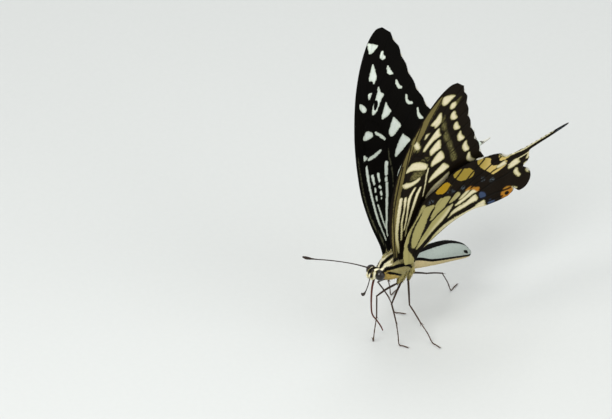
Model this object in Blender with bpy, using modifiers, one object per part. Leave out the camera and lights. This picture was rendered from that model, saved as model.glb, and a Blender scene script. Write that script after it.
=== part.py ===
"""Asian swallowtail (Papilio xuthus), life size, standing with its wings raised.

The animal is modelled in a body frame: x runs forward to the head, y to the butterfly's left
and z up from the back, with the wing hinges level with z = 0. An empty carries that frame,
pitches it nose up and sets the six soles on the floor. Sizes are in millimetres and become
metres in to_metres().
"""

import math

import bmesh
import bpy
from mathutils import Matrix, Vector
from mathutils.geometry import delaunay_2d_cdt

# Stance: the body's nose-up pitch, and how high the wing hinges are above the floor.
BODY_PITCH = math.radians(6.6)
HINGE_HEIGHT = 17.88
GAP = 0.3

# Wings: each leans outward from the middle plane, and the left pair is swept forward of the right.
WING_LEAN = math.radians(14.3)
WING_SWEEP = math.radians(1.6)
HINGE_HALF_SPAN = 1.7
FOREWING_SPAN = 50.0
MEMBRANE = 0.5
VEIN_THICKNESS = 0.85
VEIN_HALF_WIDTH = 0.42
WING_BOW = -0.3
HINDWING_OUT = VEIN_THICKNESS + GAP
HINDWING_FORWARD = 1.33
HINDWING_LIFT = 1.36
SCALLOP = 0.45
VEIN_TO_EDGE = 0.25
HINDWING_HELD_BACK = {1: 0.0, -1: math.radians(3.0)}
TAIL_LENGTH = 11.6
STATION_STEP = 4.2

# Trunk stations: distance forward, top, bottom and half width, from the tip of the abdomen to the face.
HEAD = ((3.75, -1.45, -3.05, 0.85), (4.4, -0.95, -3.5, 1.35), (5.2, -0.72, -3.65, 1.6),
        (6.0, -0.95, -3.5, 1.35), (6.6, -1.45, -3.1, 0.85), (6.85, -2.0, -2.6, 0.35))
THORAX = ((-4.15, -0.5, -3.8, 1.6), (-3.2, 0.3, -4.3, 2.15), (-1.6, 0.9, -4.7, 2.6),
          (0.2, 0.95, -4.8, 2.75), (1.8, 0.35, -4.65, 2.5), (2.9, -0.3, -4.1, 1.85), (3.45, -0.9, -3.5, 1.15))
ABDOMEN = ((-22.2, -4.3, -4.9, 0.3), (-21.5, -3.4, -5.35, 1.0), (-20.0, -2.0, -5.35, 1.6),
           (-18.0, -0.9, -5.15, 2.05), (-15.0, 0.05, -4.85, 2.35), (-12.0, 0.3, -4.6, 2.45),
           (-9.0, 0.2, -4.35, 2.25), (-6.5, -0.1, -4.1, 1.9), (-4.45, -0.55, -3.75, 1.55))
ABDOMEN_SEGMENTS = 8
SEGMENT_CREASE = 0.05
EYE_CENTRE = Vector((4.75, 1.47, -2.2))
EYE_RADIUS = 1.1
PALP_TIP = Vector((7.05, 0.42, -2.35))
PALP_ROOT = Vector((5.9, 0.5, -3.2))
PALP_RADIUS = 0.42

# Feelers and tongue: route points in the body frame.
ANTENNAE = {
    "left": ((6.25, 0.72, -0.95), (9.2, 3.3, -0.5), (12.6, 6.6, 0.2), (15.6, 9.2, 0.5), (17.4, 10.5, 0.9),
             (18.2, 10.9, 1.5)),
    "right": ((6.25, -0.72, -0.95), (9.2, -2.6, -0.05), (12.6, -5.2, 0.4), (15.8, -7.2, 0.7),
              (17.4, -8.1, 1.0), (18.2, -8.5, 1.3)),
}
ANTENNA_RADII = (0.26, 0.26, 0.26, 0.3, 0.46, 0.3)
PROBOSCIS = ((5.0, 0.0, -4.05), (5.3, 0.0, -5.9), (5.1, 0.0, -9.2), (4.5, 0.0, -12.2), (2.9, 0.0, -14.3),
             (1.5, 0.0, -16.2), (0.95, 0.0, -17.2))
PROBOSCIS_RADII = (0.3, 0.3, 0.29, 0.28, 0.27, 0.26, 0.24)

# Legs: coxa end, knee and ankle in the body frame, then how the foot runs along the floor.
LEGS = {
    "fore_left": ((-0.7, 1.35, -5.65), (5.5, 1.95, -6.75), (4.5, 1.5, -12.3), (4.2, 0.9), (3.8, 0.2)),
    "mid_left": ((-2.15, 1.0, -5.65), (2.9, 4.0, -8.5), (1.9, 5.0, -12.8), (1.0, 5.6), (0.4, 7.6)),
    "hind_left": ((-3.75, 1.2, -5.45), (-5.3, 0.8, -12.4), (-4.9, 5.3, -14.6), (-4.9, 9.4), (-4.8, 12.0)),
    "fore_right": ((-0.6, -1.2, -5.65), (-1.8, -6.0, -9.1), (-5.2, -6.1, -13.4), (-6.5, -4.9), (-7.7, -3.0)),
    "mid_right": ((-2.15, -1.2, -5.65), (-4.5, -7.2, -7.0), (-8.2, -9.6, -12.2), (-10.3, -10.7),
                  (-12.6, -11.4)),
    "hind_right": ((-3.75, -1.2, -5.45), (-11.5, -1.6, -7.6), (-16.6, -2.1, -9.2), (-21.3, -3.9),
                   (-23.8, -4.8)),
}
COXA_LEAN = Vector((0.75, 0.1, 0.0))
COXA_RADII = (0.75, 0.62, 0.45)
COXA_CLEARANCE = 0.62
FEMUR_RADII = (0.3, 0.42, 0.38, 0.3)
TIBIA_RADII = (0.27, 0.31, 0.29, 0.26)
TARSUS_RADIUS = 0.26
SOLE_DEPTH = 0.12
JOINT_TRIM = 0.45
FEMUR_BOW = 0.25
TIBIA_BOW = 0.1
INSTEP = 0.35

# Forewing outline in its own plane: distance back from the hinge, and distance out along the wing.
FORE_COSTA = ((-1.5, 0.0), (-2.2, 2.5), (-4.3, 7.0), (-5.8, 11.0), (-6.9, 15.0), (-7.6, 20.0), (-7.9, 25.0),
              (-7.8, 29.0), (-7.3, 34.0), (-6.4, 38.5), (-4.9, 43.0), (-2.7, 47.2), (-0.4, 49.5), (1.5, 49.8))
FORE_MARGIN = {"R5": (3.6, 48.3), "M1": (5.7, 44.6), "M2": (7.3, 40.6), "M3": (9.1, 36.5),
               "CuA1": (11.3, 32.5), "CuA2": (13.8, 28.6), "A2": (16.8, 23.6)}
FORE_INNER = ((17.2, 22.0), (13.6, 16.4), (9.6, 11.0), (5.8, 6.0), (2.6, 2.2), (1.2, 0.0))
FORE_VEINS = {
    "costal": ((-1.0, 0.3), (-3.2, 7.0), (-5.6, 15.0), (-6.6, 22.0), (-7.2, 29.0)),
    "radial": ((-0.5, 0.3), (-2.0, 7.0), (-4.0, 15.0), (-5.0, 22.0), (-5.2, 28.0), (-4.6, 31.0)),
    "R1": ((-4.6, 18.5), (-5.8, 26.0), (-6.7, 35.0)),
    "R2": ((-5.2, 26.5), (-5.8, 34.0), (-5.4, 40.5)),
    "R4": ((-4.3, 33.5), (-3.4, 40.0), (-1.4, 48.0)),
    "R5": ((-4.6, 31.0), (-4.3, 33.5), (-0.6, 40.3), (1.0, 44.0), FORE_MARGIN["R5"]),
    "M1": ((-4.2, 31.0), (-2.0, 35.0), (2.4, 41.0), FORE_MARGIN["M1"]),
    "M2": ((-2.8, 30.3), (0.1, 33.2), (4.2, 38.0), FORE_MARGIN["M2"]),
    "M3": ((-0.8, 28.6), (2.1, 30.4), (6.2, 34.4), FORE_MARGIN["M3"]),
    "cell_end": ((-4.6, 31.0), (-2.8, 30.3), (-0.8, 28.6), (0.6, 24.8)),
    "cubital": ((0.3, 0.3), (0.6, 7.0), (1.2, 14.0), (1.1, 19.0), (0.6, 24.8)),
    "CuA1": ((0.6, 24.8), (4.0, 26.4), (8.7, 30.6), FORE_MARGIN["CuA1"]),
    "CuA2": ((1.1, 18.8), (5.0, 21.6), (10.6, 26.4), FORE_MARGIN["CuA2"]),
    "A2": ((0.7, 0.3), (2.6, 5.0), (6.8, 12.0), (12.0, 18.6), FORE_MARGIN["A2"]),
}

# Hindwing outline in its own plane, in three runs: front edge, scalloped outer edge and inner edge.
# The right hindwing is held farther back than the left. Its tail is broken off and its outer edge worn away,
# apart from one corner of a lobe.
HIND_COSTA = ((2.4, -2.6), (1.4, -0.6), (0.5, 3.0), (0.7, 8.0), (1.5, 13.0), (2.2, 17.0), (4.0, 19.9),
              (6.7, 21.5), (10.6, 22.8), (14.4, 23.7), (17.2, 23.3), (19.8, 23.2), (21.9, 22.7),
              (23.6, 21.6), (25.2, 21.5))
TAIL_ROOT = ((26.8, 21.8), (30.3, 20.8))
TAIL_AIM = math.radians(19.2)
TAIL_HALF_WIDTHS = (0.8, 0.66, 0.62, 0.5, 0.34)
HIND_LOBES = ((30.9, 18.8), (30.7, 17.9), (29.8, 16.6), (31.1, 15.6), (32.6, 13.9), (33.1, 11.9),
              (32.5, 10.1), (31.0, 9.5), (29.5, 10.5), (28.5, 11.4), (28.6, 10.2), (27.4, 9.3))
WORN_EDGE = ((26.4, 21.9), (26.5, 20.6), (27.8, 19.0), (30.8, 19.2), (28.4, 18.2), (27.7, 17.4), (28.8, 15.5),
             (28.6, 13.5), (28.9, 11.8), (28.6, 10.2), (27.4, 9.3))
HIND_INNER = ((24.9, 8.75), (22.0, 8.4), (18.5, 8.4), (15.4, 7.6), (12.2, 6.1), (8.9, 3.65), (6.2, 1.2),
              (5.3, -0.8), (5.1, -2.6))
HIND_VEINS = {
    "Sc": ((3.2, -1.5), (2.0, 3.0), (0.9, 6.7), (1.2, 9.8), (2.6, 14.0), (6.4, 20.9)),
    "Rs": ((3.7, -1.5), (4.3, 2.4), (4.5, 5.5), (5.1, 9.6), (6.6, 13.0), (12.0, 23.1)),
    "upper_cell": ((5.1, 9.6), (9.8, 12.8)),
    "M1": ((9.8, 12.8), (12.6, 17.0), (17.2, 22.9)),
    "M2": ((10.6, 12.4), (16.0, 17.6), (22.2, 22.0)),
    "M3": ((11.1, 11.9), (19.0, 17.2), (28.8, 21.3)),
    "cell_end": ((9.8, 12.8), (11.1, 11.9), (10.9, 8.6)),
    "CuA1": ((10.9, 8.6), (19.0, 13.6), (29.4, 17.2)),
    "CuA2": ((9.9, 6.8), (18.6, 10.6), (28.2, 11.3)),
    "cubital": ((4.3, -1.5), (4.9, 1.6), (7.1, 4.0), (9.9, 6.8), (10.9, 8.6)),
    "A2": ((4.8, -1.2), (6.4, 2.2), (12.0, 6.9), (18.0, 9.1), (26.0, 9.5)),
}

# Colours (red, green, blue) and roughness of each sub-part's own material.
COLOURS = {
    "head": ((0.07, 0.06, 0.04), 0.8), "eye": ((0.03, 0.025, 0.02), 0.15),
    "thorax": ((0.25, 0.22, 0.12), 0.85), "abdomen": ((0.5, 0.52, 0.42), 0.75),
    "forewing": ((0.05, 0.045, 0.035), 0.6), "hindwing": ((0.45, 0.42, 0.2), 0.6),
    "antenna": ((0.02, 0.015, 0.012), 0.5), "proboscis": ((0.12, 0.03, 0.02), 0.4),
    "leg": ((0.05, 0.03, 0.02), 0.5),
}


def to_metres(point):
    return Vector(point) / 1000


def smooth_path(points, step):
    """Points of a Catmull-Rom curve through the given ones, about one step apart, ends included."""
    points = [Vector(point) for point in points]
    ends = [2 * points[0] - points[1], *points, 2 * points[-1] - points[-2]]
    path = [points[0]]
    for a, b, c, d in zip(ends, ends[1:], ends[2:], ends[3:]):
        count = max(1, round((c - b).length / step))
        for i in range(1, count + 1):
            t = i / count
            path.append(0.5 * (2 * b + (c - a) * t + (2 * a - 5 * b + 4 * c - d) * t ** 2
                               + (3 * b - a - 3 * c + d) * t ** 3))
    return path


def material(kind):
    made = bpy.data.materials.get(kind) or bpy.data.materials.new(kind)
    colour, roughness = COLOURS[kind]
    made.use_nodes = True
    shader = made.node_tree.nodes["Principled BSDF"]
    shader.inputs["Base Color"].default_value = (*colour, 1)
    shader.inputs["Roughness"].default_value = roughness
    return made


class Scene:
    """The collections that the object's parts and its cutters go in, and the empty of the body frame."""

    def __init__(self):
        for obj in list(bpy.data.objects):
            bpy.data.objects.remove(obj, do_unlink=True)
        self.parts = bpy.data.collections.new("asian_swallowtail")
        self.cutters = bpy.data.collections.new("cutters")
        for collection in (self.parts, self.cutters):
            bpy.context.scene.collection.children.link(collection)
        self.body = bpy.data.objects.new("body_frame", None)
        bpy.context.scene.collection.objects.link(self.body)

    def add(self, name, mesh, kind):
        """One named sub-part, in the body frame, with its own material."""
        obj = bpy.data.objects.new(name, mesh)
        obj.parent = self.body
        mesh.materials.append(material(kind))
        mesh.shade_smooth()
        mesh.set_sharp_from_angle(angle=math.radians(45))
        self.parts.objects.link(obj)
        return obj

    def add_cutter(self, name, mesh):
        obj = bpy.data.objects.new(name, mesh)
        obj.parent = self.body
        obj.hide_render = True
        obj.display_type = "WIRE"
        self.cutters.objects.link(obj)
        return obj


def mesh_of(name, work):
    bmesh.ops.recalc_face_normals(work, faces=work.faces)
    mesh = bpy.data.meshes.new(name)
    work.to_mesh(mesh)
    work.free()
    return mesh


def loft(name, rings):
    """A closed body through rings of points, with flat ends."""
    work = bmesh.new()
    rows = [[work.verts.new(to_metres(point)) for point in ring] for ring in rings]
    for row, following in zip(rows, rows[1:]):
        for i in range(len(row)):
            j = (i + 1) % len(row)
            work.faces.new((row[i], row[j], following[j], following[i]))
    for row in (rows[0], rows[-1]):
        work.faces.new(row)
    return mesh_of(name, work)


def trunk_ring(station, sides, grow=0.0):
    """One oval section of the trunk."""
    forward, top, bottom, half_width = station
    middle = (top + bottom) / 2
    half_height = (top - bottom) / 2 + grow
    ring = []
    for i in range(sides):
        angle = 2 * math.pi * i / sides
        ring.append((forward, (half_width + grow) * math.cos(angle), middle + half_height * math.sin(angle)))
    return ring


def trunk_stations(table, count):
    """Stations on a smooth curve through a table of them, evenly spaced along the trunk."""
    dense = smooth_path([Vector(row) for row in table], 0.15)
    first, last = table[0][0], table[-1][0]
    wanted = [first + (last - first) * i / (count - 1) for i in range(count)]
    return [min(dense, key=lambda row, x=x: abs(row[0] - x)) for x in wanted]


def trunk(name, table, count, sides, grow=0.0):
    return loft(name, [trunk_ring(row, sides, grow) for row in trunk_stations(table, count)])


def tube(name, points, radii, step, sides_level=2):
    """A tapered tube as a mesh: a curve with a bevel and caps, its caps welded on."""
    path = smooth_path([(*point, radius) for point, radius in zip(points, radii)], step)
    data = bpy.data.curves.new(name, "CURVE")
    data.dimensions = "3D"
    data.bevel_depth = 0.001
    data.bevel_resolution = sides_level
    data.use_fill_caps = True
    spline = data.splines.new("POLY")
    spline.points.add(len(path) - 1)
    for target, place in zip(spline.points, path):
        target.co = (*to_metres(place[:3]), 1)
        target.radius = place[3]
    curve = bpy.data.objects.new(name, data)
    bpy.context.scene.collection.objects.link(curve)
    graph = bpy.context.evaluated_depsgraph_get()
    work = bmesh.new()
    work.from_mesh(bpy.data.meshes.new_from_object(curve.evaluated_get(graph)))
    bmesh.ops.remove_doubles(work, verts=work.verts, dist=1e-6)
    bpy.data.objects.remove(curve, do_unlink=True)
    return mesh_of(name, work)


def ball(name, centre, radii, segments, rings):
    work = bmesh.new()
    bmesh.ops.create_uvsphere(work, u_segments=segments, v_segments=rings, radius=1)
    bmesh.ops.scale(work, vec=to_metres(radii), verts=work.verts)
    bmesh.ops.translate(work, vec=to_metres(centre), verts=work.verts)
    return mesh_of(name, work)


def apply_boolean(obj, operation, **operand):
    """Applies one exact Boolean and keeps the largest closed surface."""
    cut = obj.modifiers.new(operation.lower(), "BOOLEAN")
    cut.operation = operation
    cut.solver = "EXACT"
    for key, value in operand.items():
        setattr(cut, key, value)
    graph = bpy.context.evaluated_depsgraph_get()
    mesh = bpy.data.meshes.new_from_object(obj.evaluated_get(graph))
    obj.modifiers.clear()
    work = bmesh.new()
    work.from_mesh(mesh)
    bmesh.ops.remove_doubles(work, verts=work.verts, dist=2e-6)
    keep_largest(work)
    work.to_mesh(mesh)
    work.free()
    obj.data = mesh


def keep_largest(work):
    left = set(work.faces)
    shells = []
    while left:
        shell, edge_of = set(), [next(iter(left))]
        while edge_of:
            face = edge_of.pop()
            if face in shell:
                continue
            shell.add(face)
            edge_of.extend(other for edge in face.edges for other in edge.link_faces if other not in shell)
        left -= shell
        shells.append(shell)
    shells.sort(key=lambda shell: sum(face.calc_area() for face in shell))
    for shell in shells[:-1]:
        bmesh.ops.delete(work, geom=list(shell), context="FACES")


def join_and_union(scene, obj, pieces):
    """Fuses closed pieces into a part with one Boolean, then removes them."""
    collection = bpy.data.collections.new(obj.name + "_pieces")
    bpy.context.scene.collection.children.link(collection)
    for i, mesh in enumerate(pieces):
        piece = bpy.data.objects.new(f"{obj.name}_piece_{i}", mesh)
        piece.parent = scene.body
        collection.objects.link(piece)
    apply_boolean(obj, "UNION", operand_type="COLLECTION", collection=collection)
    for piece in list(collection.objects):
        bpy.data.objects.remove(piece, do_unlink=True)
    bpy.data.collections.remove(collection)


def make_trunk(scene):
    """Thorax with its six coxae, abdomen with its rings, and head with its palps and eye sockets."""
    thorax = scene.add("thorax", trunk("thorax", THORAX, 12, 18), "thorax")
    join_and_union(scene, thorax, [coxa(end) for end, *_ in LEGS.values()])
    scene.add("abdomen", abdomen_mesh(), "abdomen")
    head = scene.add("head", trunk("head", HEAD, 8, 16), "head")
    palps = [ball("palp", mirrored((PALP_ROOT + PALP_TIP) / 2, side), (0.85, PALP_RADIUS, 0.6), 10, 8)
             for side in (1, -1)]
    join_and_union(scene, head, palps)
    for side, name in ((1, "left"), (-1, "right")):
        centre = mirrored(EYE_CENTRE, side)
        scene.add("eye_" + name, ball("eye", centre, [EYE_RADIUS] * 3, 16, 12), "eye")
        socket = scene.add_cutter("socket_" + name, ball("socket", centre, [EYE_RADIUS + GAP] * 3, 16, 12))
        apply_boolean(head, "DIFFERENCE", object=socket)


def mirrored(point, side):
    return Vector((point[0], side * point[1], point[2]))


def coxa(end):
    """The thick first piece of a leg, from inside the thorax down to its end."""
    end = Vector(end) + Vector((0, 0, COXA_CLEARANCE))
    side = math.copysign(1, end.y)
    root = end + mirrored(COXA_LEAN, -side) + Vector((0, 0, 1.6))
    return tube("coxa", (root, root.lerp(end, 0.55), end), COXA_RADII, 1.0)


def abdomen_mesh():
    """The abdomen, a little drawn in where its segments meet."""
    rings = []
    count = 3 * ABDOMEN_SEGMENTS + 1
    for i, row in enumerate(trunk_stations(ABDOMEN, count)):
        drawn_in = SEGMENT_CREASE if i % 3 == 0 and 0 < i < count - 1 else 0.0
        rings.append(trunk_ring(row, 18, -drawn_in))
    return loft("abdomen", rings)


def make_feelers(scene):
    for name, route in ANTENNAE.items():
        scene.add("antenna_" + name, tube("antenna", route, ANTENNA_RADII, 2.0), "antenna")
    scene.add("proboscis", tube("proboscis", PROBOSCIS, PROBOSCIS_RADII, 1.6), "proboscis")


def floor_up():
    """The world's up direction, in the body frame."""
    return Vector((math.sin(BODY_PITCH), 0, math.cos(BODY_PITCH)))


def above_floor(forward, left, height):
    """The body-frame point over a place on the floor, at a height above it."""
    up = floor_up()
    return Vector((forward, left, (height - HINGE_HEIGHT - forward * up.x) / up.z))


def shortened(start, end, radius):
    """A segment's ends, drawn back so that neighbours keep their gap at the joint."""
    along = (end - start).normalized()
    trim = GAP / 2 + JOINT_TRIM * radius
    return start + along * trim, end - along * trim


def bowed(start, end, sag):
    """Four points from start to end, bent a little upward between them."""
    lift = floor_up() * sag
    return (start, start.lerp(end, 0.33) + lift, start.lerp(end, 0.7) + lift * 0.8, end)


def make_legs(scene):
    """Femur, tibia and tarsus of each leg, with a flat sole under the end of each tarsus."""
    for name, (hip, knee, ankle, touch, tip) in LEGS.items():
        hip, knee, ankle = Vector(hip), Vector(knee), Vector(ankle)
        femur = bowed(*shortened(hip, knee, FEMUR_RADII[0]), FEMUR_BOW)
        scene.add(f"leg_{name}_femur", tube("femur", femur, FEMUR_RADII, 2.4), "leg")
        tibia = bowed(*shortened(knee, ankle, TIBIA_RADII[0]), TIBIA_BOW)
        scene.add(f"leg_{name}_tibia", tube("tibia", tibia, TIBIA_RADII, 2.4), "leg")
        rest = TARSUS_RADIUS - SOLE_DEPTH
        touch, tip = above_floor(*touch, rest), above_floor(*tip, rest)
        start, _ = shortened(ankle, touch, TARSUS_RADIUS)
        bend = start.lerp(touch, 0.62) + floor_up() * INSTEP
        route = (start, bend, touch, touch.lerp(tip, 0.5), tip)
        foot = scene.add(f"leg_{name}_tarsus", tube("tarsus", route, [TARSUS_RADIUS] * 5, 1.7), "leg")
        cut_sole(foot)


def cut_sole(foot):
    """Takes off what is below the floor and closes the cut."""
    work = bmesh.new()
    work.from_mesh(foot.data)
    ground = above_floor(0, 0, 0)
    cut = bmesh.ops.bisect_plane(work, geom=[*work.verts, *work.edges, *work.faces],
                                 plane_co=to_metres(ground), plane_no=floor_up(), clear_inner=True)
    rim = [item for item in cut["geom_cut"] if isinstance(item, bmesh.types.BMEdge)]
    bmesh.ops.contextual_create(work, geom=rim)
    bmesh.ops.recalc_face_normals(work, faces=work.faces)
    work.to_mesh(foot.data)
    work.free()


def wing_point(back, out, side, layer, lift):
    """The body-frame place of a point of a wing's plane, lift being its height off that plane."""
    sweep = WING_SWEEP * side
    turned_back = back * math.cos(sweep) - out * math.sin(sweep)
    turned_out = out * math.cos(sweep) + back * math.sin(sweep)
    away = layer + lift
    return Vector((-turned_back,
                   side * (HINGE_HALF_SPAN + turned_out * math.sin(WING_LEAN) + away * math.cos(WING_LEAN)),
                   turned_out * math.cos(WING_LEAN) - away * math.sin(WING_LEAN)))


def bow(out):
    """How far a wing lies off its plane at a distance along it: the middle curves in a little."""
    return WING_BOW * math.sin(math.pi * min(max(out / FOREWING_SPAN, 0), 1))


def distance_to(point, path):
    """From a point to a run of straight pieces."""
    best = math.inf
    for a, b in zip(path, path[1:]):
        span = b - a
        t = min(max((point - a).dot(span) / span.length_squared, 0), 1)
        best = min(best, (point - a - span * t).length)
    return best


def vein_lines(path):
    """A vein's middle line and the two lines beside it where its ridge ends."""
    sides = ([], [])
    for i, point in enumerate(path):
        along = (path[min(i + 1, len(path) - 1)] - path[max(i - 1, 0)]).normalized()
        across = Vector((-along.y, along.x)) * VEIN_HALF_WIDTH
        sides[0].append(point + across)
        sides[1].append(point - across)
    return (path, *sides)


def inside(point, outline):
    """Whether a point is within a closed outline."""
    crossings = 0
    for a, b in zip(outline, [*outline[1:], outline[0]]):
        if (a.y > point.y) != (b.y > point.y):
            crossings += point.x < a.x + (b.x - a.x) * (point.y - a.y) / (b.y - a.y)
    return crossings % 2 == 1


def wing_sheet(outline, veins):
    """Triangulates a wing: its points, its triangles and how much of a vein's ridge each point has."""
    outline = [Vector(point) for point in outline]
    points = list(outline)
    edges = [(i, (i + 1) % len(outline)) for i in range(len(outline))]
    paths = [smooth_path(vein, STATION_STEP) for vein in veins]
    for path in paths:
        for line in vein_lines(path):
            kept = [point for point in line
                    if inside(point, outline) and distance_to(point, [*outline, outline[0]]) > VEIN_TO_EDGE]
            start = len(points)
            points += kept
            edges += [(start + i, start + i + 1) for i in range(len(kept) - 1)]
    made, _, faces, *_ = delaunay_2d_cdt(points, edges, [], 1, 0.05)
    ridge = []
    for point in made:
        nearest = min(distance_to(point, path) for path in paths)
        ridge.append(max(0.0, 1 - nearest / VEIN_HALF_WIDTH))
    return made, faces, ridge


def make_wing(scene, name, kind, sheet, side, place):
    """One wing: a bowed sheet given thickness, its veins raised in its own surface, cut clear of the body."""
    points, faces, ridge = sheet
    mesh = bpy.data.meshes.new(name)
    mesh.from_pydata([to_metres(place(point, side)) for point in points], [], [tuple(face) for face in faces])
    obj = scene.add(name, mesh, kind)
    group = obj.vertex_groups.new(name="vein")
    for i, weight in enumerate(ridge):
        group.add([i], weight, "REPLACE")
    solid = obj.modifiers.new("thickness", "SOLIDIFY")
    solid.thickness = VEIN_THICKNESS / 1000
    solid.offset = 0
    solid.vertex_group = group.name
    solid.thickness_vertex_group = MEMBRANE / VEIN_THICKNESS
    root = obj.modifiers.new("root", "BOOLEAN")
    root.operation = "DIFFERENCE"
    root.object = bpy.data.objects["trunk_clearance"]


def fore_place(point, side):
    return wing_point(point.x, point.y, side, 0, bow(point.y))


def hind_place(point, side):
    """The hindwing lies outside the forewing, in a frame of its own, and the right one is turned back."""
    back, out = point.x - HINDWING_FORWARD, point.y + HINDWING_LIFT
    held = HINDWING_HELD_BACK[side]
    back, out = back * math.cos(held) + out * math.sin(held), out * math.cos(held) - back * math.sin(held)
    return wing_point(back, out, side, HINDWING_OUT, bow(out))


def scalloped(ends):
    """A wing's outer edge through its vein ends, cut in a little between them."""
    edge = [Vector(ends[0])]
    for a, b in zip(ends, ends[1:]):
        a, b = Vector(a), Vector(b)
        inward = Vector((-(b - a).y, (b - a).x)).normalized() * -SCALLOP
        edge += [a.lerp(b, 0.5) + inward, b]
    return edge


def fore_outline():
    edge = scalloped(list(FORE_MARGIN.values()))
    return smooth_path(FORE_COSTA, 4.0) + smooth_path(edge, 2.2) + smooth_path(FORE_INNER, 5.0)


def tail():
    """The tail's two sides, from its front root round the tip to its rear root."""
    aim = Vector((math.cos(TAIL_AIM), math.sin(TAIL_AIM)))
    across = Vector((-aim.y, aim.x))
    start = (Vector(TAIL_ROOT[0]) + Vector(TAIL_ROOT[1])) / 2 + aim * 0.6
    count = len(TAIL_HALF_WIDTHS)
    upper, lower = [], []
    for i, half in enumerate(TAIL_HALF_WIDTHS):
        middle = start + aim * (TAIL_LENGTH * (i + 0.6) / count)
        upper.append(middle + across * half)
        lower.append(middle - across * half)
    return [Vector(TAIL_ROOT[0]), *upper, start + aim * TAIL_LENGTH, *reversed(lower), Vector(TAIL_ROOT[1])]


def hind_outline(side):
    edge = tail() + smooth_path(HIND_LOBES, 1.6) if side > 0 else smooth_path(WORN_EDGE, 1.6)
    return smooth_path(HIND_COSTA, 3.5) + edge + smooth_path(HIND_INNER, 3.5)


def make_wings(scene):
    beside_wings = (*ABDOMEN[-3:], *THORAX)
    scene.add_cutter("trunk_clearance", trunk("trunk_clearance", beside_wings, 16, 18, GAP))
    fore = wing_sheet(fore_outline(), FORE_VEINS.values())
    for side, name in ((1, "left"), (-1, "right")):
        make_wing(scene, "forewing_" + name, "forewing", fore, side, fore_place)
        hind = wing_sheet(hind_outline(side), HIND_VEINS.values())
        make_wing(scene, "hindwing_" + name, "hindwing", hind, side, hind_place)


def set_down(scene):
    """Pitches the body frame, sets it over the floor and centres the animal's box on the origin."""
    forward = Vector((-math.cos(BODY_PITCH), 0, math.sin(BODY_PITCH)))
    left = Vector((0, -1, 0))
    up = Vector((math.sin(BODY_PITCH), 0, math.cos(BODY_PITCH)))
    turn = Matrix((forward, left, up)).transposed().to_4x4()
    scene.body.matrix_world = Matrix.Translation((0, 0, HINGE_HEIGHT / 1000)) @ turn
    bpy.context.view_layer.update()
    graph = bpy.context.evaluated_depsgraph_get()
    corners = []
    for obj in scene.parts.objects:
        solid = obj.evaluated_get(graph)
        corners += [solid.matrix_world @ vertex.co for vertex in solid.data.vertices]
    for axis in (0, 1):
        values = [corner[axis] for corner in corners]
        scene.body.location[axis] -= (min(values) + max(values)) / 2
    bpy.context.view_layer.update()


def main():
    scene = Scene()
    make_trunk(scene)
    make_feelers(scene)
    make_legs(scene)
    make_wings(scene)
    set_down(scene)


main()
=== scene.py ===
"""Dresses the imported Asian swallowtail: patterned wings, haired body, eyes, feelers and legs, with the
floor, the lights and the camera. Shapes are worked out in millimetres in the butterfly's own body frame
(x forward, y to its left, z up from its back) and set in the world by BODY.
"""

import math

import bmesh
import bpy
import numpy as np
from mathutils import Matrix, Vector


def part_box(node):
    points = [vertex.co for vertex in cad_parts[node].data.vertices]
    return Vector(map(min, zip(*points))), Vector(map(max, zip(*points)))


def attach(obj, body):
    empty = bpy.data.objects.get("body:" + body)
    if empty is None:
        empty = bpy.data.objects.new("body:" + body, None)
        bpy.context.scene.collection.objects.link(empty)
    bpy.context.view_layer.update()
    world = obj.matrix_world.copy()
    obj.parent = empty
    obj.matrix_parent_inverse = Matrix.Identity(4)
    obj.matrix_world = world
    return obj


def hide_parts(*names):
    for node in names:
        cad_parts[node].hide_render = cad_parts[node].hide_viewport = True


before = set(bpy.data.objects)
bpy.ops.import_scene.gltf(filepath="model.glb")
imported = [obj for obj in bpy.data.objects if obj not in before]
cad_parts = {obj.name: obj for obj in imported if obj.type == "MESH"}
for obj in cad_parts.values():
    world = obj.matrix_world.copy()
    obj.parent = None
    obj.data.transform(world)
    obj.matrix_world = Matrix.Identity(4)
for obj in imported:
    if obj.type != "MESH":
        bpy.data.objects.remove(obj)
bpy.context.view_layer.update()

bl_info = {
    "name": "Asian swallowtail model",
    "version": (1, 0, 0),
    "blender": (4, 5, 0),
    "location": "3D View > Sidebar > Swallowtail",
    "description": "Builds the dressed model of an Asian swallowtail butterfly round its solid frame",
    "category": "Add Mesh",
}

# Stance of the body frame, the same as in the solids. Distances are in millimetres.
BODY_PITCH = math.radians(6.6)
EYE_CENTRE = Vector((4.75, 1.47, -2.2))
EYE_RADIUS = 1.1
WING_LEAN = math.radians(14.3)
WING_SWEEP = math.radians(1.6)
HINGE_HALF_SPAN = 1.7
FOREWING_SPAN = 50.0
WING_BOW = -0.3
HINDWING_OUT = 1.15
HINDWING_FORWARD = 1.33
HINDWING_LIFT = 1.36
HINDWING_HELD_BACK = {1: 0.0, -1: math.radians(3.0)}
SCALLOP = 0.3
TAIL_LENGTH = 11.6
TAIL_ROOT = ((26.8, 21.8), (30.3, 20.8))
TAIL_AIM = math.radians(19.2)
TAIL_HALF_WIDTHS = (0.8, 0.66, 0.62, 0.5, 0.34)

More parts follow.
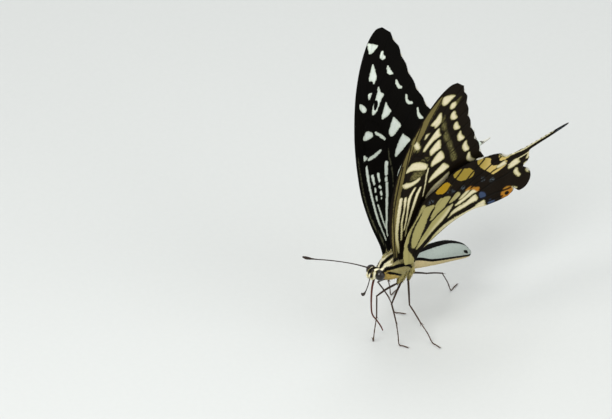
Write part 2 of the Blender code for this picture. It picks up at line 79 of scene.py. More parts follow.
# Outlines and veins of the wings: distance back from the hinge, distance out along the wing.
FORE_COSTA = ((-1.5, 0.0), (-2.2, 2.5), (-4.3, 7.0), (-5.8, 11.0), (-6.9, 15.0), (-7.6, 20.0), (-7.9, 25.0),
              (-7.8, 29.0), (-7.3, 34.0), (-6.4, 38.5), (-4.9, 43.0), (-2.7, 47.2), (-0.4, 49.5), (1.5, 49.8))
FORE_MARGIN = ((3.6, 48.3), (5.7, 44.6), (7.3, 40.6), (9.1, 36.5), (11.3, 32.5), (13.8, 28.6), (16.8, 23.6))
FORE_INNER = ((17.2, 22.0), (13.6, 16.4), (9.6, 11.0), (5.8, 6.0), (2.6, 2.2), (1.2, 0.0))
FORE_VEINS = (
    ((-1.0, 0.3), (-3.2, 7.0), (-5.6, 15.0), (-6.6, 22.0), (-7.2, 29.0)),
    ((-0.5, 0.3), (-2.0, 7.0), (-4.0, 15.0), (-5.0, 22.0), (-5.2, 28.0), (-4.6, 31.0)),
    ((-4.6, 18.5), (-5.8, 26.0), (-6.7, 35.0)),
    ((-5.2, 26.5), (-5.8, 34.0), (-5.4, 40.5)),
    ((-4.3, 33.5), (-3.4, 40.0), (-1.4, 48.0)),
    ((-4.6, 31.0), (-4.3, 33.5), (-0.6, 40.3), (1.0, 44.0), (3.6, 48.3)),
    ((-4.2, 31.0), (-2.0, 35.0), (2.4, 41.0), (5.7, 44.6)),
    ((-2.8, 30.3), (0.1, 33.2), (4.2, 38.0), (7.3, 40.6)),
    ((-0.8, 28.6), (2.1, 30.4), (6.2, 34.4), (9.1, 36.5)),
    ((-4.6, 31.0), (-2.8, 30.3), (-0.8, 28.6), (0.6, 24.8)),
    ((0.3, 0.3), (0.6, 7.0), (1.2, 14.0), (1.1, 19.0), (0.6, 24.8)),
    ((0.6, 24.8), (4.0, 26.4), (8.7, 30.6), (11.3, 32.5)),
    ((1.1, 18.8), (5.0, 21.6), (10.6, 26.4), (13.8, 28.6)),
    ((0.7, 0.3), (2.6, 5.0), (6.8, 12.0), (12.0, 18.6), (16.8, 23.6)),
)
HIND_COSTA = ((2.4, -1.9), (1.5, -0.5), (0.5, 3.0), (0.6, 8.0), (1.4, 12.0), (2.2, 15.4), (3.7, 17.4),
              (5.6, 18.8), (7.6, 20.5), (9.3, 21.9), (12.2, 22.9), (14.8, 23.4), (17.2, 23.3), (19.8, 23.2),
              (21.9, 22.7), (23.6, 21.6), (25.2, 21.5))
HIND_LOBES = ((30.9, 18.8), (30.7, 17.9), (29.8, 16.6), (31.1, 15.6), (32.6, 13.9), (33.1, 11.9),
              (32.5, 10.1), (31.0, 9.5), (29.5, 10.5), (28.5, 11.4), (29.0, 10.1), (27.9, 8.9))
# The right hindwing's tail is broken off and its outer edge worn away, apart from one corner of a lobe.
WORN_EDGE = ((26.4, 21.9), (26.5, 20.6), (27.8, 19.0), (30.8, 19.2), (28.4, 18.2), (27.7, 17.4), (28.8, 15.5),
             (28.6, 13.5), (28.9, 11.8), (28.6, 10.2), (27.4, 9.3))
HIND_INNER = ((25.2, 8.35), (22.0, 8.2), (18.5, 8.4), (15.4, 7.6), (12.2, 6.1), (8.9, 3.65), (6.2, 1.2),
              (5.3, -0.8), (5.1, -1.9))
HIND_VEINS = (
    ((3.2, -1.5), (2.0, 3.0), (0.9, 6.7), (1.2, 9.8), (2.6, 14.0), (6.4, 20.9)),
    ((3.7, -1.5), (4.3, 2.4), (4.5, 5.5), (5.1, 9.6), (6.6, 13.0), (12.0, 23.1)),
    ((5.1, 9.6), (9.8, 12.8)),
    ((9.8, 12.8), (12.6, 17.0), (17.2, 22.9)),
    ((10.6, 12.4), (16.0, 17.6), (22.2, 22.0)),
    ((11.1, 11.9), (19.0, 17.2), (28.8, 21.3)),
    ((9.8, 12.8), (11.1, 11.9), (10.9, 8.6)),
    ((10.9, 8.6), (19.0, 13.6), (29.4, 17.2)),
    ((9.9, 6.8), (18.6, 10.6), (28.2, 11.3)),
    ((4.3, -1.5), (4.9, 1.6), (7.1, 4.0), (9.9, 6.8), (10.9, 8.6)),
    ((4.8, -1.2), (6.4, 2.2), (12.0, 6.9), (18.0, 9.1), (26.0, 9.5)),
)

# Middles of the shallow bays of each outer margin, where its fringe is white, and how far the white reaches.
FORE_BAYS = ((4.5, 46.6, 0.35), (6.3, 42.7, 0.4), (8.0, 38.6, 0.45), (10.0, 34.6, 0.5), (12.3, 30.7, 0.6),
             (15.0, 26.2, 0.6))
WORN_BAYS = ((15.9, 23.4, 1.0), (23.2, 21.7, 1.4), (25.6, 21.6, 0.9), (29.8, 18.9, 1.6), (28.2, 16.6, 0.7))
HIND_BAYS = ((15.9, 23.4, 1.0), (23.2, 21.7, 1.4), (30.8, 19.8, 0.9), (30.3, 17.2, 0.7), (31.6, 15.2, 0.9),
             *((28.5 + 1.2 * i, 22.5 + 0.4 * i, 0.8) for i in range(7)))

# Camera: its right, up and backward axes in the body frame, its distance, the width it sees, and how far the
# middle of the picture lies to the left of and above the body frame's origin, all in metres.
VIEW_AXES = ((-0.763, 0.640, 0.088), (-0.239, -0.406, 0.882), (0.600, 0.652, 0.463))
VIEW_DISTANCE = 3.0
FRAME_WIDTH = 0.13
FRAME_LEFT = 0.01858
FRAME_ABOVE = 0.0103
SENSOR_WIDTH = 36
FLOOR_LEVEL = -0.0002
FLOOR_RADIUS = 3.0
# Studio lights: name, azimuth from the front towards +x, elevation, diameter in metres and watts.
LIGHTS = (
    ("key", math.radians(-75), math.radians(48), 0.45, 3.2),
    ("fill", math.radians(20), math.radians(28), 0.5, 1.0),
    ("top", math.radians(120), math.radians(70), 0.5, 1.2),
)
LIGHT_DISTANCE = 0.6
LIGHT_AIM = Vector((0.005, 0, 0.03))
SKY_STRENGTH = 0.5

# White scales left along the right hindwing's worn edge, and cream lines along the left one's tail.
WORN_PALE = (
    ((28.9, 19.3), (30.9, 19.4), (30.6, 18.9), (29.3, 18.5)),
    ((27.9, 17.3), (29, 15.7), (28.6, 15.3), (27.5, 16.9)),
    ((25.1, 21.7), (26.4, 22.1), (26.4, 21.5), (25.4, 21.2)),
)
TAIL_LINES = (
    ((24.8, 21.4, 0.12), (26.8, 21.6, 0.12), (28.6, 21.85, 0.12), (30.2, 22.4, 0.11), (32.1, 23.05, 0.1),
     (34.0, 23.7, 0.08), (35.9, 24.3, 0.02)),
    ((25.1, 18.6, 0.1), (27.1, 19.4, 0.1), (28.9, 20.0, 0.1), (30.6, 20.65, 0.08)),
)
# Markings of the forewing's underside. Spots are outlines; streaks are lines with a half width at each point.
FORE_UNDER = {
    "cream": (
        ((-1.5, 46.6), (-0.6, 46.9), (0.8, 46.6), (2, 46.1), (1.5, 45.5), (0.8, 44.6), (0, 44.1),
         (-0.8, 44.3), (-1.4, 45.1)),
        ((2.1, 44.1), (2.7, 44.1), (3.2, 43.1), (2.9, 42.3), (2.2, 42.1), (1.6, 42.8), (1.6, 43.7)),
        ((3, 41.3), (3.5, 41.1), (4, 40.1), (4.7, 39), (4.2, 38.6), (3.3, 38.8), (2.7, 39.6), (2.6, 40.7)),
        ((4.8, 37.6), (5.2, 37.6), (5.7, 36.7), (6.5, 35.5), (6.1, 35.2), (5.2, 35.3), (4.7, 36),
         (4.5, 37)),
        ((6.8, 34.4), (7.2, 34.2), (7.6, 33.3), (8.8, 32), (8.6, 31.5), (7.6, 31.4), (6.9, 32.2),
         (6.6, 33.2)),
        ((9.4, 30.8), (9.9, 30.6), (10.3, 29.5), (11.4, 27.9), (11.2, 27.5), (10.2, 27.6), (9.3, 28.7),
         (9, 29.8)),
        ((11.5, 26.7), (12, 26.6), (12.5, 25.5), (13.2, 24.6), (14.2, 24), (14, 23.6), (12.8, 23.8),
         (11.8, 24.6), (11.4, 25.7)),
        ((-1.2, 42), (-0.7, 42.1), (-0.2, 40.9), (0.1, 39.5), (-0.2, 38.6), (-0.9, 37.9), (-1.5, 38.5),
         (-2.5, 39.1), (-2.1, 39.9), (-1.5, 41)),
        ((-3.1, 36.8), (-2.2, 36.9), (-2.4, 36.2), (-2.8, 35.5), (-3.3, 35.3), (-3.3, 36)),
        ((-0.2, 37.5), (0.3, 37.4), (0.7, 36.1), (1.3, 35.2), (0.9, 34.7), (0, 34.1), (-0.7, 33.2),
         (-1.4, 32.3), (-2, 31.6), (-2.6, 31.9), (-2.5, 32.8), (-1.9, 34), (-1.1, 35.5), (-0.7, 36.7)),
        ((1.1, 33.8), (1.6, 33.6), (2, 32.7), (2.5, 31.2), (2, 30.8), (0.9, 29.9), (0.4, 29.6),
         (-0.1, 30.2), (-0.4, 31.1), (0.2, 32.4), (0.7, 33.3)),
        ((2.7, 30.2), (3.3, 29.8), (4.1, 28.7), (4.5, 27.6), (3.8, 27.1), (2.5, 26.4), (1.7, 26),
         (1.3, 26.6), (1.2, 27.4), (1.9, 29.2)),
        ((4.7, 26.1), (5.4, 25.7), (6.9, 24.4), (6.2, 23.8), (4.6, 22.8), (2.5, 21.4), (2.1, 21.7),
         (2.3, 22.7), (3.1, 24.1), (4.1, 25.4)),
        ((7.2, 22.7), (7.6, 21.9), (7.3, 20.4), (6.6, 19.4), (5, 18), (3.6, 17), (2.6, 16.8), (2.5, 17.7),
         (3.2, 18.9), (4.5, 20.4), (6, 21.8)),
        ((-5.8, 27.2), (-5.3, 28.5), (-4.3, 29), (-2.9, 28.9), (-1.5, 28.3), (-0.1, 27.4), (0.3, 26.5),
         (0, 25.9), (-1.1, 26.1), (-2.9, 26.5), (-4.4, 26.7), (-5.5, 26.6)),
        ((-5.7, 23.5), (-4.7, 23.6), (-3.3, 23.2), (-2, 23.5), (-1.1, 24.1), (-0.9, 23.8), (-1, 23),
         (-2.1, 22.2), (-3.6, 21.8), (-4.8, 22.1), (-5.5, 22.7)),
        ((-5.9, 34.9), (-5.3, 35.5), (-4.7, 34.9), (-4, 33.8), (-3.9, 33), (-4.5, 32.9), (-5.2, 33.5),
         (-5.9, 34.4)),
    ),
    "lines": (
        ((-4.9, 19.2, 0.35), (-4.1, 14, 0.35), (-3.4, 10.2, 0.3), (-2.5, 7, 0.26), (-1.7, 5.1, 0.2),
         (-0.8, 2.8, 0.1)),
        ((-3.6, 19.1, 0.2), (-3.4, 18.1, 0.34), (-3, 16, 0.16), (-2.6, 12.1, 0.16), (-1.9, 9.3, 0.14),
         (-1.2, 6.5, 0.1)),
        ((-1.5, 21.1, 0.2), (-2.2, 18.4, 0.36), (-1.8, 15, 0.17), (-1.4, 12.1, 0.15), (-1.2, 9.3, 0.1)),
        ((0, 20.8, 0.2), (-0.3, 18.9, 0.34), (-0.4, 14, 0.24), (-0.5, 10.2, 0.16), (-0.4, 7.4, 0.08)),
        ((0.7, 25.8, 0.16), (0.8, 23.8, 0.2), (1.2, 20.8, 0.14), (1.4, 17.9, 0.08)),
    ),
    "olive": (
        ((-1.9, 33.4), (-1, 34.8), (-0.4, 35.7), (-0.3, 35.1), (-0.9, 33.8), (-1.6, 32.8)),
        ((2.7, 44), (3.8, 45.3), (3.7, 44.2), (3.2, 43.1)),
        ((-2.2, 29.2), (-1.3, 29.6), (-0.3, 29.3), (0.2, 29), (-0.1, 28.3), (-1.1, 28.7)),
        ((-5.2, 38.6), (-3.9, 38.1), (-3.3, 40.4), (-2.6, 43.9), (-3, 44.5), (-3.8, 43.1), (-4.7, 40.9)),
        ((-7, 36.3), (-5.8, 36.6), (-4.1, 34.2), (-3.7, 32.6), (-4.6, 32.2), (-6, 33.6)),
        ((0.6, 40.9), (1.2, 39.3), (2.1, 37.6), (2, 36.3), (1.3, 36.8), (0.5, 38.7)),
        ((2.3, 37), (3, 35.5), (4, 33.8), (3.7, 32.6), (2.9, 33.4), (2.2, 35)),
        ((4.2, 33.4), (5, 32.3), (6, 30.5), (5.7, 29.4), (4.7, 30.7), (4, 32)),
        ((6.2, 30), (7.2, 28.5), (8.4, 26.2), (7.6, 25.6), (6.6, 27.2), (5.9, 28.8)),
        ((-3.2, 26), (-1.6, 25.8), (-0.2, 25.4), (-0.6, 24.5), (-2, 23.9), (-3.6, 24)),
    ),
    "dim": (
        ((-1.9, 46.5, 0.5), (-3.2, 43.5, 0.9), (-4.7, 38.9, 1.1), (-6, 34, 0.9), (-6.6, 29.9, 0.8),
         (-6.6, 24.8, 0.8), (-6.2, 20.8, 0.8), (-5.5, 16.9, 0.75), (-4.3, 11.2, 0.7), (-3, 6.5, 0.6),
         (-1.4, 1.9, 0.5)),
    ),
}
# Markings of the forewing's upperside.
FORE_UPPER = {
    "cream": (
        ((-2.8, 47), (-2.1, 47), (-1.1, 46.6), (-0.1, 46.1), (-0.8, 45.3), (-1.8, 44.7), (-2.5, 44.8),
         (-2.7, 45.7)),
        ((0.7, 44.7), (1.2, 44.7), (1.3, 43.9), (1.9, 43.3), (1.7, 42.9), (1, 42.8), (0.4, 43.2),
         (0.4, 44)),
        ((2.2, 41.3), (2.6, 41), (2.9, 40.4), (3.6, 39.4), (3.6, 39.2), (2.6, 39.2), (2, 39.7),
         (1.9, 40.6)),
        ((4.1, 37.9), (4.5, 37.8), (4.8, 37.1), (5.4, 36.3), (6, 35.8), (5.8, 35.5), (5, 35.6),
         (4.4, 36.2), (4.1, 37)),
        ((6.8, 34.1), (7.2, 33.8), (7.3, 32.8), (7.7, 32.4), (8.8, 31.8), (8.6, 31.5), (7.6, 31.6),
         (6.9, 32.1), (6.6, 32.8)),
        ((9.7, 30.5), (10, 30.5), (10.2, 29.4), (10.6, 28.7), (11.2, 28.1), (11.1, 27.7), (10.4, 27.8),
         (9.8, 28.4), (9.6, 29.4)),
        ((11.8, 27.4), (12.1, 27.3), (12.3, 26.4), (13.1, 25.6), (12.9, 25.2), (12.2, 25.4), (11.7, 26.2)),
        ((-2, 42.2), (-1.6, 42.3), (-1.1, 40.7), (-0.9, 39.5), (-1.3, 38.7), (-1.9, 38.1), (-2.2, 38.7),
         (-3.1, 39), (-3, 39.8), (-2.4, 41.2)),
        ((-3.4, 36.2), (-2.5, 36.4), (-2.7, 35.7), (-3.2, 34.9), (-3.5, 34.8), (-3.6, 35.5)),
        ((-0.8, 37.1), (-0.4, 37.1), (-0.1, 36.1), (0.8, 35.3), (0.6, 34.9), (-0.1, 34.2), (-0.7, 33.2),
         (-1.3, 32.2), (-2, 31.5), (-2.6, 31.4), (-2.7, 32), (-2.4, 33.2), (-1.7, 34.5), (-1.3, 35.5)),
        ((1.3, 33.5), (1.6, 32.9), (1.9, 32.2), (2.6, 31.3), (2, 30.7), (1.2, 30.3), (-0.1, 30),
         (-0.2, 30.7), (0.4, 31.9), (0.9, 32.9)),
        ((3.1, 29.7), (3.5, 29.5), (5, 27.7), (4.4, 27), (3.2, 26.1), (2.4, 25.7), (1.7, 26.1),
         (1.5, 26.9), (2, 28), (2.6, 29.1)),
        ((5.4, 25.5), (5.9, 25.2), (7.3, 24), (6.7, 23.3), (5.2, 22.2), (3.5, 21.1), (2.9, 21.2),
         (3, 22.2), (3.6, 23.3), (4.5, 24.6)),
        ((7.8, 22.3), (8.2, 21.8), (8.4, 20.7), (7.6, 20), (5.9, 18.4), (4.2, 16.9), (3.4, 16.5),
         (3.4, 17.4), (4, 18.4), (5.4, 19.8), (6.7, 21.2)),
        ((-5.6, 26.8), (-5.1, 27.9), (-4.3, 28.2), (-3, 27.6), (-2.9, 26.8), (-3.8, 26.5), (-4.8, 26.3),
         (-5.6, 26.5)),
        ((-2, 27.7), (-1.4, 27.3), (-0.3, 26.6), (0.6, 25.6), (0.5, 25.3), (-0.2, 25.6), (-1.1, 26.4),
         (-2, 27), (-2.3, 27.4)),
        ((-0.6, 23.4), (-0.8, 23), (-2.1, 22.3), (-3.6, 21.8), (-4.6, 21.8), (-4.4, 22.3), (-3.3, 22.7),
         (-1.8, 23.3), (-1, 23.5)),
        ((-5.6, 23.2), (-5.1, 22.9), (-4.6, 22.4), (-5, 22.1), (-5.6, 21.9), (-5.7, 22.5)),
        ((-6.1, 34.4), (-5.3, 34.3), (-4.4, 33.4), (-4.2, 32.6), (-4.9, 32.4), (-5.6, 32.7), (-6.1, 33.6)),
    ),
    "hole": (
        ((-1.8, 34.5), (-1.3, 34.4), (-1, 33.7), (-1.2, 32.9), (-1.6, 32.3), (-2, 32.3), (-2.2, 32.8),
         (-2.1, 33.7)),
    ),
    "lines": (
        ((-5, 20.6, 0.14), (-4.8, 18.4, 0.3), (-4.5, 16.3, 0.24), (-4, 13.8, 0.2), (-3.1, 10.2, 0.2),
         (-2.3, 7.7, 0.17), (-1.2, 5.1, 0.13), (-0.5, 3.4, 0.08)),
        ((-3.5, 18.2, 0.32), (-3.1, 16.3, 0.2)),
        ((-2.9, 15.3, 0.15), (-2.8, 14.5, 0.15)),
        ((-2.7, 13.5, 0.17), (-2.5, 12.6, 0.15)),
        ((-2.3, 11.6, 0.14), (-1.7, 9.7, 0.14), (-1, 7.5, 0.12), (-0.5, 6.1, 0.08)),
        ((-2, 18.3, 0.28), (-1.7, 16.7, 0.22)),
        ((-1.7, 15.5, 0.24), (-1.5, 15.2, 0.22)),
        ((-1.4, 14.3, 0.24), (-1.3, 13.6, 0.2)),
        ((-1.3, 12.9, 0.12), (-1.3, 12.7, 0.1)),
        ((0.5, 20.3, 0.4), (0.3, 17.9, 0.4)),
        ((0.2, 16.9, 0.36), (0.2, 16.5, 0.36)),
        ((0.3, 15.7, 0.36), (0.2, 13.3, 0.3), (0, 10.7, 0.26), (-0.1, 8.2, 0.22), (-0.2, 6.1, 0.17),
         (0, 4.1, 0.08)),
    ),
    "dim": (
        ((1.2, 23.2, 0.05), (1.3, 21.4, 0.18), (1.7, 19.9, 0.14), (2.1, 17.3, 0.1), (2.1, 14.5, 0.05)),
        ((-7.2, 22.9, 0.06), (-6.9, 19.4, 0.1), (-6.4, 16.3, 0.11), (-5.8, 13.3, 0.12), (-4.7, 9.7, 0.14),
         (-3.6, 7.2, 0.18), (-2.4, 5.1, 0.22), (-1.3, 3.1, 0.22), (-0.5, 1, 0.2)),
    ),
}
# Markings of the hindwing's underside.
HIND_UNDER = {
    "cream": (
        ((0.4, 5.3), (1.1, 4.1), (1.9, 2.6), (3.2, 0.9), (4.4, -0.6), (4.7, -2.2), (2.7, -2.3),
         (1.7, -0.8), (1, 1.2), (0.6, 3.2)),
        ((-0.1, 5.5), (0.8, 8.7), (1.7, 11.6), (2.5, 14.8), (3.3, 14.3), (2.6, 12.5), (1.9, 10.6),
         (1.4, 8.7), (1.2, 6.4), (1.3, 4.4), (0.6, 3.8)),
        ((3.2, 13.8), (3, 12.1), (2.5, 10.2), (2.1, 8.1), (2.1, 6.2), (2.4, 4.2), (3, 2.8), (3.8, 2.7),
         (4.3, 4.5), (4.6, 6.9), (4.9, 9.2), (5.3, 11.5), (6.1, 13.5), (4.8, 13.9)),
        ((6.9, 14.8), (6.4, 13), (6.1, 11.1), (6, 9.5), (6.7, 9.5), (7.6, 10.7), (8.9, 12.1), (9.8, 13.4),
         (10.2, 14.6), (9, 15.2), (7.8, 15.3)),
        ((4.1, 2.1), (4.7, 4.4), (5.7, 6.6), (6.7, 8.5), (8, 10.1), (9.3, 11.4), (10.5, 12.1),
         (11.5, 12.3), (11.6, 11.5), (10.7, 9.7), (9.5, 8), (7.8, 5.9), (6, 3.8), (4.7, 2.1)),
        ((10.2, 13), (10.9, 14.4), (11.7, 15.4), (12.9, 14.7), (12.2, 13.4), (10.9, 12.9)),
        ((12.8, 13), (13.1, 13.6), (14.2, 14.7), (15.2, 15.3), (15.8, 15), (14.9, 14), (13.6, 13)),
        ((12.4, 11.4), (13.1, 12.4), (14.6, 13.4), (16.2, 14.5), (17.3, 14.6), (18.2, 13.6), (17, 13.2),
         (15.1, 12.4), (13.5, 11.5)),
        ((11.1, 8.5), (12, 9.8), (13.2, 10.7), (15.1, 11.6), (17.6, 13), (17.9, 12.6), (18.8, 10.9),
         (17.2, 10.5), (15, 9.9), (13, 9.2), (11.9, 8.7)),
        ((6.5, 1.9), (8.5, 4.7), (10.2, 6.4), (11.8, 7.3), (14.7, 8.3), (17.7, 9), (20.4, 10.2),
         (21.2, 9.8), (21.5, 8.8), (22.1, 8.2), (20.9, 7.9), (18.7, 8.2), (16.1, 7.8), (13.2, 6.7),
         (10.7, 5.3), (9, 4), (7.3, 2.3)),
    ),
    "yolk": (
        ((5.3, 17.4), (6.5, 19), (7.6, 19.6), (8.8, 18.8), (9.6, 18), (8.9, 17.1), (7.3, 16.5)),
        ((9.1, 21.2), (10.3, 22), (11.4, 22.2), (12.4, 21.9), (13.4, 21.7), (14.3, 20.9), (15.3, 20),
         (15.1, 18.7), (13.4, 18.5), (11.6, 18.7), (10.2, 19.7)),
        ((15.2, 23.1), (16.7, 23.2), (18.4, 22.8), (19.2, 22.2), (19.4, 21.2), (19.9, 20.4), (20.7, 19.8),
         (21.7, 19.6), (22.5, 19.8), (23.6, 20.4), (24.4, 19.9), (24.4, 19.1), (23.1, 18), (21.4, 17.2),
         (20.4, 17.9), (19.3, 18.8), (17.2, 20.3), (16, 21.5)),
        ((21.3, 22.4), (22.4, 21.8), (23.6, 21.3), (24.8, 21.2), (23.9, 20.7), (22.7, 20.6), (21.9, 21)),
    ),
    "pale": (
        ((21.7, 19.3), (23.4, 20.3), (23.9, 20), (24.3, 19.2), (23.1, 18.8), (22.1, 18.7)),
        ((25.3, 18.3), (26.1, 19.4), (27.5, 19.6), (28, 18.9), (28.5, 18.3), (27.3, 17.6), (26.1, 17.3),
         (25.3, 17.6)),
        ((27.3, 16.5), (28.1, 16.9), (28.7, 15.7), (29.8, 14.2), (29.3, 13.9), (28.2, 14.8), (27.5, 15.7)),
        ((28.1, 11.5), (29.3, 11), (30, 10.5), (29.3, 10), (28.5, 10.6)),
        ((21.2, 22.9), (22, 22.6), (23.1, 21.8), (24.8, 21.3), (23.8, 21.2), (22.2, 22.1)),
        ((30.4, 20.8), (30.8, 18.9), (29.9, 19)),
        ((30.6, 17.7), (30.3, 16.6), (29.8, 17.5)),
        ((30.8, 15.7), (32.4, 14.1), (31.3, 14.7)),
        ((28.2, 10.9), (28.7, 10.3), (28.5, 9.3), (28, 8.9), (28.2, 9.7), (28, 10.3)),
    ),
    "orange": (
        ((14.2, 15.1), (15.1, 15.8), (16.1, 15.6), (16.8, 15.1), (17.8, 14.9), (18.3, 14.3), (18.2, 13.5),
         (17.4, 13.9), (16.6, 14.5), (15.6, 14.8)),
        ((25.4, 10.9), (25.8, 11.8), (26.6, 12.1), (27.6, 11.7), (28.4, 11), (28.8, 10.2), (28.4, 9.2),
         (27.5, 8.6), (26.3, 8.9), (25.6, 9.8)),
    ),
    "hole": (
        ((19.7, 21.4), (20.1, 22.2), (20.9, 22.3), (21.6, 21.7), (21.9, 20.8), (21.3, 19.9), (20.5, 20.1),
         (19.9, 20.7)),
        ((26.5, 10.3), (27, 10.6), (27.6, 10.3), (27.9, 9.8), (27.5, 9.4), (26.9, 9.6)),
    ),
    "blue": (
        ((18.7, 12.6), (19.1, 13.1), (19.9, 12.7), (20.7, 11.9), (20.9, 10.9), (20.1, 10.7), (19.4, 11.3)),
        ((22, 9.7), (22.6, 9.8), (23.4, 9.3), (24.2, 8.9), (24, 8.3), (22.9, 8.4), (22.2, 8.9)),
    ),
    "grey": (
        ((3.9, 15), (4.5, 15.6), (5.4, 15.1), (5.6, 14.6), (4.6, 14.4)),
        ((8.7, 16.4), (9.7, 16.8), (10.7, 16.3), (11.1, 15.8), (9.9, 15.7)),
        ((12.4, 17), (13.2, 16.9), (13.9, 15.8), (13.3, 15.3), (12.7, 16)),
        ((17.6, 17.5), (18.5, 17.4), (19.3, 16.6), (18.8, 16.1), (18, 16.6)),
        ((20.6, 15.7), (21.1, 16.3), (21.8, 16), (22.4, 15.1), (21.9, 14.9), (21.3, 15.1)),
        ((36.8, 23.7), (37.4, 24.7), (39.2, 25.4), (39.9, 25.1), (38.8, 24.3)),
    ),
}

# Trunk stations from the tip of the abdomen to the face: distance forward, top, bottom and half width.
TRUNK = ((-22.2, -4.45, -4.75, 0.12), (-21.9, -4.0, -5.1, 0.55), (-21.2, -3.2, -5.35, 1.08),
         (-20.0, -2.05, -5.32, 1.56), (-18.0, -0.95, -5.1, 2.0), (-15.0, 0.0, -4.8, 2.3),
         (-12.0, 0.25, -4.55, 2.4), (-9.0, 0.15, -4.3, 2.2), (-6.5, -0.15, -4.05, 1.85),
         (-4.9, -0.6, -3.75, 1.5), (-4.2, -0.75, -3.8, 1.4), (-3.2, 0.05, -4.05, 1.9),
         (-1.6, 0.62, -4.42, 2.32), (0.2, 0.67, -4.52, 2.47), (1.8, 0.1, -4.35, 2.22),
         (2.9, -0.5, -3.85, 1.6), (3.6, -1.35, -3.3, 0.85), (4.1, -1.2, -3.3, 0.95),
         (4.7, -0.95, -3.45, 1.2), (5.3, -0.85, -3.5, 1.3),
         (6.0, -1.05, -3.4, 1.1), (6.5, -1.5, -3.1, 0.75), (6.75, -2.1, -2.6, 0.25))
WAIST = -4.55
NECK = 3.65
SEGMENT_LENGTH = 2.15
LAST_CREASE = -21.0
CREASE_DEPTH = 0.07

# Routes of the feelers, their radii at the same points, and how many steps of a route lie between two rings.
ANTENNAE = {
    "left": ((6.25, 0.72, -0.95), (9.2, 3.3, -0.5), (12.6, 6.6, 0.2), (15.6, 9.2, 0.5), (17.4, 10.5, 0.9),
             (18.2, 10.9, 1.5)),
    "right": ((6.25, -0.72, -0.95), (9.2, -2.6, -0.05), (12.6, -5.2, 0.4), (15.8, -7.2, 0.7),
              (17.4, -8.1, 1.0), (18.2, -8.5, 1.3)),
}
ANTENNA_RADII = (0.17, 0.12, 0.115, 0.14, 0.34, 0.2)
ANTENNA_RING = 6
PROBOSCIS_RING = 3
PROBOSCIS = ((5.0, 0.0, -3.6), (5.3, 0.0, -5.9), (5.1, 0.0, -9.2), (4.5, 0.0, -12.2), (2.9, 0.0, -14.3),
             (1.5, 0.0, -16.2), (0.95, 0.0, -17.2))
PROBOSCIS_RADII = (0.26, 0.23, 0.2, 0.18, 0.17, 0.16, 0.12)
PALP = ((5.5, 0.35, -3.35), (6.2, 0.4, -3.15), (6.65, 0.4, -2.6), (6.75, 0.36, -1.9))
PALP_RADII = (0.2, 0.26, 0.22, 0.1)

# Legs: coxa end, knee and ankle in the body frame, then how the foot runs along the floor.
HINGE_HEIGHT = 17.88
LEGS = {
    "fore_left": ((-0.7, 1.35, -5.65), (5.5, 1.95, -6.75), (4.5, 1.5, -12.3), (4.2, 0.9), (3.8, 0.2)),
    "mid_left": ((-2.15, 1.0, -5.65), (2.9, 4.0, -8.5), (1.9, 5.0, -12.8), (1.0, 5.6), (0.4, 7.6)),
    "hind_left": ((-3.75, 1.2, -5.45), (-5.3, 0.8, -12.4), (-4.9, 5.3, -14.6), (-4.9, 9.4), (-4.8, 12.0)),
    "fore_right": ((-0.6, -1.2, -5.65), (-1.8, -6.0, -9.1), (-5.2, -6.1, -13.4), (-6.5, -4.9), (-7.7, -3.0)),
    "mid_right": ((-2.15, -1.2, -5.65), (-4.5, -7.2, -7.0), (-8.2, -9.6, -12.2), (-10.3, -10.7),
                  (-12.6, -11.4)),
    "hind_right": ((-3.75, -1.2, -5.45), (-11.5, -1.6, -7.6), (-16.6, -2.1, -9.2), (-21.3, -3.9),
                   (-23.8, -4.8)),
}
COXA_LEAN = Vector((0.75, 0.1, 0.0))
COXA_LENGTH = 2.1
TARSUS_RADIUS = 0.15
TARSOMERES = 5

# Length of the longest hair, and counts of its locks on each wing's root, each palp and all the coxae.
HAIR_LENGTH = 0.85
WING_ROOT_LOCKS = 420
PALP_LOCKS = 300
COXA_LOCKS = 1200

# The four vectors of markings that a wing keeps at each point, and how far is far from any of them.
MARK_SETS = ("spots", "tints", "form", "glaze")
FAR = 2.0
# Side of the square cells of a wing's mesh, and the seed of every random draw.
CELL = 0.2
SEED = 7


def body_matrix():
    """From the body frame in millimetres to the world in metres, found again from the left eye's place."""
    forward = Vector((-math.cos(BODY_PITCH), 0, math.sin(BODY_PITCH)))
    up = Vector((math.sin(BODY_PITCH), 0, math.cos(BODY_PITCH)))
    turn = Matrix((forward, Vector((0, -1, 0)), up)).transposed()
    low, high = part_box("eye_left")
    origin = (low + high) / 2 - turn @ EYE_CENTRE / 1000
    return Matrix.Translation(origin) @ turn.to_4x4() @ Matrix.Scale(0.001, 4)


BODY = body_matrix()


def to_world(points):
    """An array of body-frame points as world points."""
    matrix = np.array(BODY)
    return points @ matrix[:3, :3].T + matrix[:3, 3]


def linear(code):
    """An sRGB hex colour as the linear colour that shaders take."""
    values = [int(code[i:i + 2], 16) / 255 for i in (1, 3, 5)]
    return tuple(v / 12.92 if v <= 0.04045 else ((v + 0.055) / 1.055) ** 2.4 for v in values)


def smooth_path(points, step, closed=False):
    """An array of points on a Catmull-Rom curve through the given ones, about one step apart."""
    points = np.array(points, float)
    if closed:
        ends = np.vstack((points[-1], points, points[:2]))
    else:
        ends = np.vstack((2 * points[0] - points[1], points, 2 * points[-1] - points[-2]))
    path = [ends[1]]
    for a, b, c, d in zip(ends, ends[1:], ends[2:], ends[3:]):
        count = max(1, round(np.linalg.norm(c - b) / step))
        for t in np.arange(1, count + 1) / count:
            path.append(0.5 * (2 * b + (c - a) * t + (2 * a - 5 * b + 4 * c - d) * t ** 2
                               + (3 * b - a - 3 * c + d) * t ** 3))
    return np.array(path[:-1] if closed else path)


